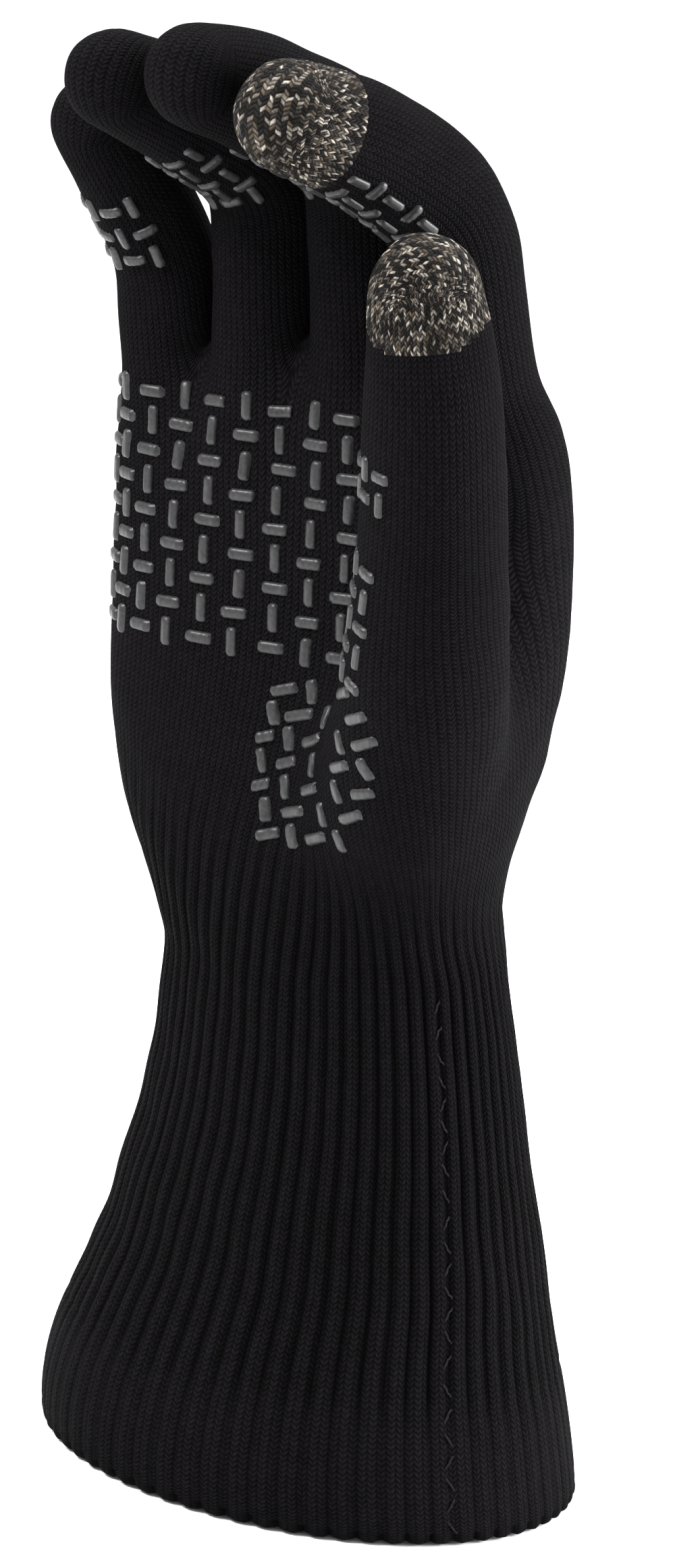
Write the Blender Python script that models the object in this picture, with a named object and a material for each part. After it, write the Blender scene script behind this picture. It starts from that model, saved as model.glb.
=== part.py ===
"""Right-hand long-cuff knit touchscreen glove, filled as if worn, standing on its cuff hem.

Object frame: hem plane is z = 0 with the hem centre at the origin, +Z runs up the
cuff to the fingertips, +X is the thumb side, the palm faces -Y.
The hand is laid out in its own straight frame in millimetres (z up the hand, hinge
lines of the fingers along x) and then leaned over the hem by a few degrees.
"""
import bpy
import bmesh
from math import radians, sin, cos, tan, pi, sqrt
from mathutils import Vector, Matrix

for ob in list(bpy.data.objects):
    bpy.data.objects.remove(ob, do_unlink=True)

# ------------------------------------------------------------------ frame
U = Vector((cos(radians(44)), sin(radians(44)), 0))          # lean runs along -U
LEAN = Matrix.Rotation(radians(-5.6), 3, Vector((-U.y, U.x, 0)))
HEM = Vector((-3.6, -3.5, 0))                                # hem centre in the hand frame
HEM_N = LEAN.transposed() @ Vector((0, 0, 1))                # hem plane's normal in the hand frame
MM = 0.001


def world(p):
    return (LEAN @ (Vector(p) - HEM)) * MM


# ------------------------------------------------------------------ layer build-up, mm
KNIT = 1.4            # outer knit
GAP = 0.35            # clearance between layers
LINING = 1.2          # brushed lining
LIN0 = KNIT + GAP     # lining starts this far inside the outer face
FIN_N = 12            # sides of a finger tube
HAND_N = 24           # sides of the hand and cuff tubes

# ------------------------------------------------------------------ materials
def material(name, rgb, rough, metal=0.0):
    m = bpy.data.materials.new(name)
    m.use_nodes = True
    b = m.node_tree.nodes["Principled BSDF"]
    b.inputs["Base Color"].default_value = (*rgb, 1)
    b.inputs["Roughness"].default_value = rough
    b.inputs["Metallic"].default_value = metal
    m.diffuse_color = (*rgb, 1)
    return m


BLACK_KNIT = ("black_knit", (0.0085, 0.007, 0.0082), 0.95)
CUFF_KNIT = ("cuff_knit", (0.0075, 0.0065, 0.0075), 0.95)
TOUCH_KNIT = ("touch_knit", (0.075, 0.066, 0.058), 0.85)
SILICONE = ("silicone", (0.05, 0.05, 0.055), 0.35)
FLEECE = ("fleece_lining", (0.018, 0.017, 0.019), 1.0)
THREAD = ("seam_thread", (0.014, 0.012, 0.014), 0.8)


def emit(name, verts, faces, finish, pivot=(0, 0, 0)):
    """One named closed solid; its origin goes on the joint that carries it."""
    piv = world(pivot) if pivot != (0, 0, 0) else Vector((0, 0, 0))
    me = bpy.data.meshes.new(name)
    me.from_pydata([world(v) - piv for v in verts], [], faces)
    bm = bmesh.new()
    bm.from_mesh(me)
    bmesh.ops.remove_doubles(bm, verts=bm.verts, dist=1e-7)
    bmesh.ops.recalc_face_normals(bm, faces=bm.faces)
    bm.to_mesh(me)
    bm.free()
    me.materials.append(material(name + "_" + finish[0], finish[1], finish[2]))
    ob = bpy.data.objects.new(name, me)
    ob.location = piv
    bpy.context.scene.collection.objects.link(ob)
    return ob


def strip(a, b, flip=False):
    """Quads between two closed rings of vertex numbers."""
    n = len(a)
    out = []
    for i in range(n):
        j = (i + 1) % n
        q = [a[i], a[j], b[j], b[i]]
        out.append(q[::-1] if flip else q)
    return out


# ------------------------------------------------------------------ digits
class Spine:
    """Centre line of a digit: straight bones with rounded corners, carried frames, tapering section."""

    def __init__(self, pts, w, d, h, side, lead=12.0):
        pts = [Vector(p) for p in pts]
        first = pts[0] - (pts[1] - pts[0]).normalized() * lead
        self.pts = pts
        chain = [first] + pts
        out = []
        cur = chain[0]
        k = 0
        for i in range(1, len(chain) - 1):
            p, a, b = chain[i], chain[i - 1], chain[i + 1]
            da, db = (p - a).normalized(), (b - p).normalized()
            hh = h[k] if i > 1 else 0.01
            k += 1 if i > 1 else 0
            s, e = p - da * hh, p + db * hh
            n = max(2, int((s - cur).length))
            out += [cur.lerp(s, t / n) for t in range(n)]
            out += [s * (1 - t) ** 2 + p * 2 * t * (1 - t) + e * t * t for t in [q / 16 for q in range(16)]]
            cur = e
        n = max(2, int((chain[-1] - cur).length))
        out += [cur.lerp(chain[-1], t / n) for t in range(n + 1)]
        tail = (chain[-1] - chain[-2]).normalized()
        out.append(chain[-1] + tail * 30)
        self.p = out
        self.s = [0.0]
        for i in range(1, len(out)):
            self.s.append(self.s[-1] + (out[i] - out[i - 1]).length)
        # arc length of each bone end
        self.js = [self.s[min(range(len(out)), key=lambda q: (out[q] - v).length)] for v in pts]
        self.js[-1] = self.s[-2]
        self.w, self.d = w, d
        self.side = Vector(side).normalized()

    def point(self, s):
        s = min(max(s, 0.0), self.s[-1])
        for i in range(1, len(self.s)):
            if self.s[i] >= s:
                f = (s - self.s[i - 1]) / max(1e-9, self.s[i] - self.s[i - 1])
                return self.p[i - 1].lerp(self.p[i], f)
        return self.p[-1].copy()

    def frame(self, s):
        p = self.point(s)
        t = (self.point(s + 1.5) - self.point(s - 1.5)).normalized()
        x = (self.side - t * self.side.dot(t)).normalized()
        return p, t, x, t.cross(x)

    def half(self, s):
        js = self.js
        if s <= js[0]:
            return self.w[0], self.d[0]
        for i in range(1, len(js)):
            if s <= js[i]:
                f = (s - js[i - 1]) / (js[i] - js[i - 1])
                return (self.w[i - 1] + (self.w[i] - self.w[i - 1]) * f,
                        self.d[i - 1] + (self.d[i] - self.d[i - 1]) * f)
        return self.w[-1], self.d[-1]

    def at(self, s, ang, off, k=1.0):
        p, t, x, y = self.frame(s)
        w, d = self.half(s)
        return p + x * ((w - off) * cos(ang) * k) + y * ((d - off) * sin(ang) * k)


def setback(q, r, lo, hi, gap=0.3):
    """How far a tube end stands back from its hinge so the two ends never meet between lo and hi degrees.
    q is the height of the point above the hinge line, positive on the side that opens."""
    f = max(-1.0, min(1.0, q / r))
    return gap + r * ((1 - f) / 2 * tan(radians(hi) / 2) + (1 + f) / 2 * tan(radians(-lo) / 2))


def tube(name, sp, s0, s1, j0, j1, off, wall, finish, n=FIN_N, tip=False, pivot=None, extra=0.0, floor=None):
    """A length of tube along a digit. j0 and j1 are the (lo, hi) ranges of the hinges at its ends, or None for a plain
    seam end. tip closes the far end with a dome. floor(p) gives the height under a tube that starts on the hand."""
    verts, faces = [], []

    def ring(s_of, o, k=1.0):
        first = len(verts)
        for i in range(n):
            ang = 2 * pi * (i + 0.5) / n
            verts.append(sp.at(s_of(ang), ang, o, k))
        return list(range(first, first + n))

    def clear_of(k, rng, ang, o, way):
        """Arc length at which the wall stands clear of the fold planes through hinge k, on the side way points to."""
        w, d = sp.half(sp.js[k])
        p, t, x, y = sp.frame(sp.js[k])
        hinge = sp.pts[k]
        s = sp.js[k]
        for _ in range(300):
            r = sp.at(s, ang, o) - hinge
            q = r.dot(y)
            need = 0.3 + max(0.0, -q) * tan(radians(rng[1]) / 2) + max(0.0, q) * tan(radians(-rng[0]) / 2)
            if r.dot(t) * way >= need:
                break
            s += 0.1 * way
        return s

    def ends(o):
        k0 = min(range(4), key=lambda q: abs(sp.js[q] - s0))
        k1 = min(range(4), key=lambda q: abs(sp.js[q] - s1))

        def start(ang):
            base = (clear_of(k0, j0, ang, o, 1) if j0 else s0 + 0.15) + extra
            if floor:
                p = sp.at(s0, ang, o)
                base = s0 + floor(p) + extra
            return base

        def stop(ang):
            return (clear_of(k1, j1, ang, o, -1) if j1 else s1 - 0.15) - extra
        return start, stop

    def skin(o):
        rings = []
        start, stop = ends(o)
        if tip:
            end = lambda ang: s1
        else:
            end = stop
        m = max(2, round((s1 - s0) / 7.5))
        for r in range(m + 1):
            f = r / m
            rings.append(ring(lambda ang: start(ang) * (1 - f) + end(ang) * f, o))
        pole = None
        if tip:
            w, d = sp.half(s1)
            rr = (w + d) / 2 - o
            for ph in (32, 62):
                a = radians(ph)
                rings.append(ring(lambda ang: s1 + rr * sin(a), o, cos(a)))
            pole = len(verts)
            verts.append(sp.point(s1 + rr))
        return rings, pole

    outer, op = skin(off)
    inner, ip = skin(off + wall)
    for a, b in zip(outer, outer[1:]):
        faces.extend(strip(a, b))
    for a, b in zip(inner, inner[1:]):
        faces.extend(strip(a, b, True))
    faces.extend(strip(outer[0], inner[0], True))
    if tip:
        for i in range(n):
            j = (i + 1) % n
            faces.append([outer[-1][i], outer[-1][j], op])
            faces.append([inner[-1][j], inner[-1][i], ip])
    else:
        faces.extend(strip(outer[-1], inner[-1]))
    return emit(name, verts, faces, finish, pivot or (0, 0, 0))


# hinge ranges in degrees from the rest curl: knuckle, middle joint, end joint
RANGE = {
    "little": ((-25, 25), (-30, 22), (-15, 11)),
    "ring": ((-25, 25), (-45, 22), (-22.5, 11)),
    "middle": ((-25, 25), (-45, 22), (-22.5, 11)),
    "index": ((-25, 12), (-40, 14), (-20, 7)),
}
DIGITS = {
    "little": Spine([(-32.5, -8.5, 203), (-34, -10, 229), (-34, -20.5, 245), (-33.4, -28, 255)],
                    (9.3, 9.1, 8.9, 8.4), (10.4, 9.9, 9.3, 8.5), (7, 5), (1, 0, 0)),
    "ring": Spine([(-12.5, -3.5, 207.5), (-13, -3.5, 247), (-13, -30, 261), (-13, -43, 267)],
                  (9.9, 9.9, 9.6, 9.2), (11.3, 11.1, 10.3, 9.3), (12, 6), (1, 0, 0)),
    "middle": Spine([(9.2, 1.0, 210), (9, -1, 252), (8.3, -30, 266), (7.7, -43, 270)],
                    (10.5, 10.3, 10.0, 9.6), (11.7, 11.5, 10.9, 9.7), (12, 6), (1, 0, 0)),
    "index": Spine([(32.5, 2.5, 209.5), (32, -3, 245), (30.6, -27, 260), (29.6, -42, 265.5)],
                   (11.2, 11.0, 10.4, 9.9), (12.1, 11.8, 11.2, 10.2), (11, 7), (1, 0, 0)),
}
THUMB = Spine([(48.6, -24.9, 187), (50.2, -26.6, 200), (52.5, -29.2, 217.5), (51.4, -30, 235.8)],
              (13.4, 13.0, 12.3, 10.2), (13.4, 13.0, 12.3, 10.2), (3, 5), (0.695, -0.72, 0))
SWING_DIR = Vector((0.56, -0.83, 0)).normalized()      # the thumb opens away from the palm this way
SWING = (-3, 18)
T_MCP = (-8, 12)
T_IP = (-15, 25)

# ------------------------------------------------------------------ hand tube
WRIST = (-25, 25)
# z, half width, half thickness, turn about z in degrees, squareness, shift along U
HAND = [
    (100, 35.0, 25.0, 6, 2.05, 0.1), (112, 36.3, 24.3, 7, 2.1, -1.9), (124, 40.0, 23.0, 9, 2.2, -2.7),
    (136, 43.5, 21.5, 11, 2.4, -1.6), (148, 45.5, 20.4, 12, 2.5, -0.6), (162, 46.8, 19.3, 12, 2.6, 0.7),
    (178, 46.5, 18.2, 12, 2.6, 1.4), (192, 46.0, 17.0, 11, 2.6, 1.8), (200, 45.4, 15.4, 10, 2.6, 1.6),
    (212, 44.6, 13.6, 10, 2.5, 1.4),
]


def hand_row(z):
    for a, b in zip(HAND, HAND[1:]):
        if z <= b[0]:
            f = max(0.0, (z - a[0]) / (b[0] - a[0]))
            return [p + (q - p) * f for p, q in zip(a, b)]
    return list(HAND[-1])


def hand_at(z, ang, off):
    _, a, b, phi, n, c = hand_row(z)
    ca, sa = cos(ang), sin(ang)
    r = (abs(ca) ** n + abs(sa) ** n) ** (-1.0 / n)
    lx, ly = (a - off) * ca * r, (b - off) * sa * r
    cp, sp_ = cos(radians(phi)), sin(radians(phi))
    return Vector((U.x * c + lx * cp - ly * sp_, U.y * c + lx * sp_ + ly * cp, z)), lx, ly


RIDGE = [(-50, 200.5), (-33, 203.5), (-12, 207.0), (9, 209.0), (32, 208.5), (50, 205.0)]
ROOF = tan(radians(15))


def ridge(x):
    if x <= RIDGE[0][0]:
        return RIDGE[0][1]
    for a, b in zip(RIDGE, RIDGE[1:]):
        if x <= b[0]:
            return a[1] + (b[1] - a[1]) * (x - a[0]) / (b[0] - a[0])
    return RIDGE[-1][1]


def knuckle_line(x):
    """Height in y of the knuckle hinge line at x."""
    pts = [(-50, -12.0), (-32.5, -8.5), (-12.5, -3.5), (9.2, 1.0), (32.5, 2.5), (50, 3.5)]
    for a, b in zip(pts, pts[1:]):
        if x <= b[0]:
            return a[1] + (b[1] - a[1]) * (x - a[0]) / (b[0] - a[0])
    return pts[-1][1]


def roof_z(p, drop=0.0):
    return ridge(p.x) - abs(p.y - knuckle_line(p.x)) * ROOF - drop


def hand_solid(name, off, tail=False):
    """Closed solid of the hand tube at an offset inside its outer face, with the ridged finger end. tail runs it on
    past the wrist, for cutting."""
    bm = bmesh.new()
    n = HAND_N
    rings = []
    zs = [-1] * tail + [0, 112, 124, 136, 148, 162, 178, 190, 203]
    for k, z in enumerate(zs):
        ring = []
        for i in range(n):
            ang = 2 * pi * i / n
            if z <= 0:
                p, lx, ly = hand_at(100, ang, off)
                p.z = 100 + setback(p.y, 25, *WRIST) + 12 * z
            elif z == 203:
                p, lx, ly = hand_at(203, ang, off)
                p.z = roof_z(p, off * 1.3)
            else:
                p, lx, ly = hand_at(z, ang, off)
            ring.append(bm.verts.new(world(p)))
        rings.append(ring)
    for a, b in zip(rings, rings[1:]):
        for i in range(n):
            j = (i + 1) % n
            bm.faces.new((a[i], a[j], b[j], b[i]))
    bm.faces.new(rings[0][::-1])
    # ridged end: matching points of the palm and back sides meet on a ridge line
    top = rings[-1]
    mids = []
    for i in range(1, n // 2):
        pa, lx, ly = hand_at(203, 2 * pi * i / n, off)
        pb, _, _ = hand_at(203, -2 * pi * i / n, off)
        m = (pa + pb) / 2
        reach = abs(pa.y - pb.y) * 0.25
        m.y = min(max(knuckle_line(m.x), m.y - reach), m.y + reach)
        m.z = roof_z(m, off * 1.3)
        mids.append(bm.verts.new(world(m)))
    bm.faces.new((top[0], top[1], mids[0]))
    bm.faces.new((top[0], mids[0], top[n - 1]))
    for i in range(1, n // 2 - 1):
        bm.faces.new((top[i], top[i + 1], mids[i], mids[i - 1]))
        bm.faces.new((top[n - i], mids[i - 1], mids[i], top[n - i - 1]))
    h = n // 2
    bm.faces.new((top[h - 1], top[h], mids[-1]))
    bm.faces.new((top[h], top[h + 1], mids[-1]))
    bmesh.ops.triangulate(bm, faces=[f for f in bm.faces if len(f.verts) == 4])
    bmesh.ops.recalc_face_normals(bm, faces=bm.faces)
    if bm.calc_volume(signed=True) < 0:
        bmesh.ops.reverse_faces(bm, faces=bm.faces)
    me = bpy.data.meshes.new(name)
    bm.to_mesh(me)
    bm.free()
    ob = bpy.data.objects.new(name, me)
    bpy.context.scene.collection.objects.link(ob)
    return ob


def rod(name, pts, radii, n, cap0=None, run_on=0.0):
    """Closed solid along a short run of points, circular section; the last ring can be tilted by a function and
    then run straight on."""
    bm = bmesh.new()
    rings = []
    side = Vector((0.695, -0.72, 0)).normalized()
    for k, (p, r) in enumerate(zip(pts, radii)):
        p = Vector(p)
        a = Vector(pts[max(0, k - 1)])
        b = Vector(pts[min(len(pts) - 1, k + 1)])
        t = (b - a).normalized()
        if cap0 and k == len(pts) - 1:
            t = (THUMB.pts[1] - THUMB.pts[0]).normalized()
        x = (side - t * side.dot(t)).normalized()
        y = t.cross(x)
        ring = []
        for i in range(n):
            ang = 2 * pi * (i + 0.5) / n
            v = p + x * (r * cos(ang)) + y * (r * sin(ang))
            if cap0 and k == len(pts) - 1:
                v = v - t * cap0((v - p))
            ring.append(bm.verts.new(world(v)))
        rings.append(ring)
    if run_on:
        shift = world(t * run_on) - world((0, 0, 0))
        rings.append([bm.verts.new(q.co + shift) for q in rings[-1]])
    for a, b in zip(rings, rings[1:]):
        for i in range(n):
            j = (i + 1) % n
            bm.faces.new((a[i], a[j], b[j], b[i]))
    bm.faces.new(rings[0][::-1])
    bm.faces.new(rings[-1])
    bmesh.ops.recalc_face_normals(bm, faces=bm.faces)
    me = bpy.data.meshes.new(name)
    bm.to_mesh(me)
    bm.free()
    ob = bpy.data.objects.new(name, me)
    bpy.context.scene.collection.objects.link(ob)
    return ob


def boolean(ob, other, op):
    m = ob.modifiers.new(op + other.name, "BOOLEAN")
    m.operation = op
    m.object = other
    m.solver = "EXACT"
    other.hide_render = True
    other.display_type = "WIRE"


def bake(ob):
    """Turn the modifiers into mesh and clear away the helper solids."""
    dg = bpy.context.evaluated_depsgraph_get()
    me = bpy.data.meshes.new_from_object(ob.evaluated_get(dg))
    helpers = [m.object for m in ob.modifiers if m.type == "BOOLEAN"]
    ob.modifiers.clear()
    ob.data = me
    for h in helpers:
        bpy.data.objects.remove(h, do_unlink=True)


STUB = [(17, 0, 116), (30, -11.5, 138), (43, -20.8, 162), THUMB.pts[0]]
STUB_R = (10.0, 17.0, 14.2, 13.4)


def stub_cut(v):
    q = -v.dot(SWING_DIR)
    return setback(q, 13.4, *SWING)


def hand_shell(name, off, wall, finish):
    """Hand tube and thumb root in one skin, hollow, open at the wrist, at the thumb and at the four fingers."""
    outer = hand_solid(name, off)
    stub_o = rod(name + "_so", STUB, [r - off for r in STUB_R], 20, stub_cut)
    boolean(outer, stub_o, "UNION")
    bake(outer)
    inner = hand_solid(name + "_i", off + wall, tail=True)
    stub_i = rod(name + "_si", STUB, [r - off - wall for r in STUB_R], 20, stub_cut, run_on=8.0)
    boolean(inner, stub_i, "UNION")
    bake(inner)
    boolean(outer, inner, "DIFFERENCE")
    bake(outer)
    for key in ("little", "ring", "middle", "index"):
        sp = DIGITS[key]
        p, t, x, y = sp.frame(sp.js[0])
        c = rod(name + key, [p - t * 7.3, p + t * 6], [1.0, 1.0], 16)
        w, d = sp.half(sp.js[0])
        inv = LEAN.transposed()
        for v in c.data.vertices:
            q = inv @ (v.co / MM) + HEM - p
            q = p + t * q.dot(t) + x * (q.dot(x) * (w - off - wall - 0.6)) + y * (q.dot(y) * (d - off - wall - 1.2))
            v.co = world(q)
        c.data.update()
        boolean(outer, c, "DIFFERENCE")
        bake(outer)
    me = outer.data
    bm = bmesh.new()
    bm.from_mesh(me)
    bmesh.ops.remove_doubles(bm, verts=bm.verts, dist=2e-5)
    bmesh.ops.dissolve_degenerate(bm, dist=1e-5, edges=bm.edges)
    if bm.calc_volume(signed=True) < 0:
        bmesh.ops.reverse_faces(bm, faces=bm.faces)
    bm.to_mesh(me)
    bm.free()
    piv = world((0, 0, 100))
    me.transform(Matrix.Translation(-piv))
    outer.location = piv
    me.materials.clear()
    me.materials.append(material(name + "_" + finish[0], finish[1], finish[2]))
    return outer


# ------------------------------------------------------------------ cuff
# height above the hem, half reach along U, shift along U
CUFF = [(0, 50.6, -5.0), (10, 49.9, -5.3), (19, 48.2, -4.9), (31, 44.7, -3.6), (43, 41.4, -1.8),
        (55, 38.8, -1.1), (68, 36.0, -0.1), (82, 33.8, 0.3), (100, 31.6, 0.1)]


def cuff_row(h):
    for a, b in zip(CUFF, CUFF[1:]):
        if h <= b[0]:
            f = max(0.0, (h - a[0]) / (b[0] - a[0]))
            return [p + (q - p) * f for p, q in zip(a, b)]
    return list(CUFF[-1])


def cuff_at(h, ang, off, top=None):
    _, e, c = cuff_row(h)
    a = 35.0 + (e - 31.6) - off
    b = 25.0 + (e - 31.6) * 1.026 - off
    phi = radians(6)
    lx, ly = a * cos(ang), b * sin(ang)
    dx, dy = lx * cos(phi) - ly * sin(phi), lx * sin(phi) + ly * cos(phi)
    lean = 1 - h / 100.0
    z = h - lean * (HEM_N.x * dx + HEM_N.y * dy) / HEM_N.z
    if top:
        z = min(z, top(Vector((dx, dy, 0))))
    # centre line runs from the hem centre to the wrist centre
    return Vector((HEM.x * 1.0 + (U.x * (c + 5.0)), HEM.y * 1.0 + (U.y * (c + 5.0)), 0)) + Vector((dx, dy, z))


def wrist_top(v):
    return 100 - setback(-v.y, 25, WRIST[0], WRIST[1])


def cuff_tube(name, h0, h1, off, wall, finish, at_wrist=False):
    n = HAND_N
    verts, faces = [], []

    def ring(h, o, top=False):
        first = len(verts)
        for i in range(n):
            verts.append(cuff_at(h, 2 * pi * i / n, o, wrist_top if top else None))
        return list(range(first, first + n))

    hs = [h0] + [row[0] for row in CUFF if h0 + 1.5 < row[0] < h1 - 7] + [h1]
    outer = [ring(h, off, at_wrist and h == h1) for h in hs]
    inner = [ring(h, off + wall, at_wrist and h == h1) for h in hs]
    for a, b in zip(outer, outer[1:]):
        faces += strip(a, b)
    for a, b in zip(inner, inner[1:]):
        faces += strip(a, b, True)
    faces += strip(outer[0], inner[0], True)
    faces += strip(outer[-1], inner[-1])
    return emit(name, verts, faces, finish)


WELT = 24.0
cuff_tube("cuff_rib", WELT + 0.3, 100, 0, KNIT, CUFF_KNIT, at_wrist=True)
# the welt is turned in at the hem and runs back up inside: a U section
n = HAND_N
verts, faces = [], []
prof = [(WELT, 0.0), (19, 0.0), (10, 0.0), (1.2, 0.0), (0.0, 0.7), (0.0, 2.9), (1.2, 3.6), (10, 3.6), (18, 3.6),
        (18, 2.2), (10, 2.2), (2.0, 2.2), (2.0, 1.4), (10, 1.4), (19, 1.4), (WELT, 1.4)]
prof_rings = []
for h, o in prof:
    first = len(verts)
    for i in range(n):
        verts.append(cuff_at(h, 2 * pi * i / n, o))
    prof_rings.append(list(range(first, first + n)))
for a, b in zip(prof_rings, prof_rings[1:] + prof_rings[:1]):
    faces += strip(a, b)
emit("cuff_welt", verts, faces, CUFF_KNIT)
cuff_tube("cuff_lining", 18.8, 99.6, LIN0, LINING, FLEECE, at_wrist=True)

# side seam: a raised ladder of stitches down the thumb side of the cuff
SEAM = radians(-25)
verts, faces = [], []
rows = 20
for k in range(rows + 1):
    h = 1.5 + (93.5 - 1.5) * k / rows
    wig = radians(0.9) * (1 if k % 2 else -1)
    da = radians(1.7) * 31.6 / cuff_row(h)[1]
    for o, s in ((-0.35, -1), (-0.35, 1), (-0.95, 1), (-0.95, -1)):
        verts.append(cuff_at(h, SEAM + wig + s * da, o))
for k in range(rows):
    a, b = 4 * k, 4 * (k + 1)
    for i in range(4):
        j = (i + 1) % 4
        faces.append([a + i, a + j, b + j, b + i])
faces.append([3, 2, 1, 0])
faces.append([4 * rows + i for i in range(4)])
emit("cuff_side_seam", verts, faces, THREAD)

# ------------------------------------------------------------------ hand
hand_shell("palm_knit", 0.0, KNIT, BLACK_KNIT)
hand_shell("palm_lining", LIN0, LINING, FLEECE)


# ------------------------------------------------------------------ fingers
for key in ("little", "ring", "middle", "index"):
    sp = DIGITS[key]
    j = sp.js
    r0, r1, r2 = RANGE[key]
    base_z = sp.pts[0].z

    def floor(p, sp=sp, base_z=base_z):
        return max(0.0, ridge(p.x) - base_z) + 0.9 + abs(p.y - knuckle_line(p.x)) * ROOF
    p0, p1, p2 = [tuple(v) for v in sp.pts[:3]]
    tube(key + "_base_knit", sp, j[0], j[1], None, r1, 0.0, KNIT, BLACK_KNIT, pivot=p0, floor=floor)
    tube(key + "_base_lining", sp, j[0], j[1], None, r1, LIN0, LINING, FLEECE, pivot=p0, floor=floor, extra=0.3)
    tube(key + "_middle_knit", sp, j[1], j[2], r1, r2, 0.0, KNIT, BLACK_KNIT, pivot=p1)
    tube(key + "_middle_lining", sp, j[1], j[2], r1, r2, LIN0, LINING, FLEECE, pivot=p1, extra=0.3)
    if key == "index":
        cap = j[2] + 6.0
        tube("index_tip_knit", sp, j[2], cap, r2, None, 0.0, KNIT, BLACK_KNIT, pivot=p2)
        tube("index_touch_cap", sp, cap, j[3], None, None, 0.0, KNIT, TOUCH_KNIT, tip=True, pivot=p2)
    else:
        tube(key + "_tip_knit", sp, j[2], j[3], r2, None, 0.0, KNIT, BLACK_KNIT, tip=True, pivot=p2)
    tube(key + "_tip_lining", sp, j[2], j[3], r2, None, LIN0, LINING, FLEECE, tip=True, pivot=p2, extra=0.3)

# ------------------------------------------------------------------ thumb
j = THUMB.js
SIDE_DIR = THUMB.side


def swing_floor(p):
    """Stand-back of the thumb's lower end from the swing hinge."""
    q = -(p - THUMB.pts[0]).dot(SWING_DIR)
    return setback(q, 13.4, *SWING)


t0, t1, t2 = [tuple(v) for v in THUMB.pts[:3]]
tube("thumb_root_knit", THUMB, j[0], j[1], None, T_MCP, 0.0, KNIT, BLACK_KNIT, n=16, pivot=t0, floor=swing_floor)
tube("thumb_root_lining", THUMB, j[0], j[1], None, T_MCP, LIN0, LINING, FLEECE, n=16, pivot=t0, floor=swing_floor,
     extra=0.3)
tube("thumb_middle_knit", THUMB, j[1], j[2], T_MCP, T_IP, 0.0, KNIT, BLACK_KNIT, n=16, pivot=t1)
tube("thumb_middle_lining", THUMB, j[1], j[2], T_MCP, T_IP, LIN0, LINING, FLEECE, n=16, pivot=t1, extra=0.3)
CAP_AT = j[2] + 11.5
tube("thumb_tip_knit", THUMB, j[2], CAP_AT, T_IP, None, 0.0, KNIT, BLACK_KNIT, n=16, pivot=t2)
tube("thumb_touch_cap", THUMB, CAP_AT, j[3], None, None, 0.0, KNIT, TOUCH_KNIT, n=16, tip=True, pivot=t2)
tube("thumb_tip_lining", THUMB, j[2], j[3], T_IP, None, LIN0, LINING, FLEECE, n=16, tip=True, pivot=t2, extra=0.3)


# ------------------------------------------------------------------ printed grips
def grip(name, nu, nv, place, pivot, long_side=0.84, short_side=0.36, phase=0):
    """Basket of raised bars on a thin film: place(u, v, lift) is the point at cell coordinates u, v standing lift
    millimetres proud of the knit. Bars turn by a quarter from one cell to the next."""
    verts, faces = [], []

    def v(u, w, lift):
        verts.append(place(u, w, lift))
        return len(verts) - 1
    low = {}
    top = {}
    for iu in range(nu + 1):
        for iv in range(nv + 1):
            low[iu, iv] = v(iu, iv, 0.35)
            top[iu, iv] = v(iu, iv, 0.55)
    for iu in range(nu):
        for iv in range(nv):
            faces.append([low[iu, iv], low[iu, iv + 1], low[iu + 1, iv + 1], low[iu + 1, iv]])
            up = (iu + iv + phase) % 2 == 0
            hu, hv = (short_side / 2, long_side / 2) if up else (long_side / 2, short_side / 2)
            cu, cv = iu + 0.5, iv + 0.5
            c = [top[iu, iv], top[iu + 1, iv], top[iu + 1, iv + 1], top[iu, iv + 1]]
            foot = [v(cu + a * hu, cv + b * hv, 0.55) for a, b in ((-1, -1), (1, -1), (1, 1), (-1, 1))]
            head = [v(cu + a * hu * 0.9, cv + b * hv * 0.93, 1.25) for a, b in ((-1, -1), (1, -1), (1, 1), (-1, 1))]
            for i in range(4):
                k = (i + 1) % 4
                faces.append([c[i], c[k], foot[k], foot[i]])
                faces.append([foot[i], foot[k], head[k], head[i]])
            faces.append(head)
    for iu in range(nu):
        for iv in (0, nv):
            q = [low[iu, iv], low[iu + 1, iv], top[iu + 1, iv], top[iu, iv]]
            faces.append(q)
    for iv in range(nv):
        for iu in (0, nu):
            q = [low[iu, iv], low[iu, iv + 1], top[iu, iv + 1], top[iu, iv]]
            faces.append(q)
    return emit(name, verts, faces, SILICONE, pivot)


def on_hand(a0, a1, z0, z1, nu, nv):
    """Cells spread between two angles round the hand tube and two heights."""
    def place(u, v_, lift):
        z = z0 + (z1 - z0) * v_ / nv
        ang = a0 + (a1 - a0) * u / nu
        return hand_at(z, ang, -lift - 0.12)[0]
    return place


def on_digit(sp, s0, s1, a0, a1, nu, nv):
    def place(u, v_, lift):
        s = s0 + (s1 - s0) * v_ / nv
        ang = a0 + (a1 - a0) * u / nu
        return sp.at(s, ang, -lift - 0.3)
    return place


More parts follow.
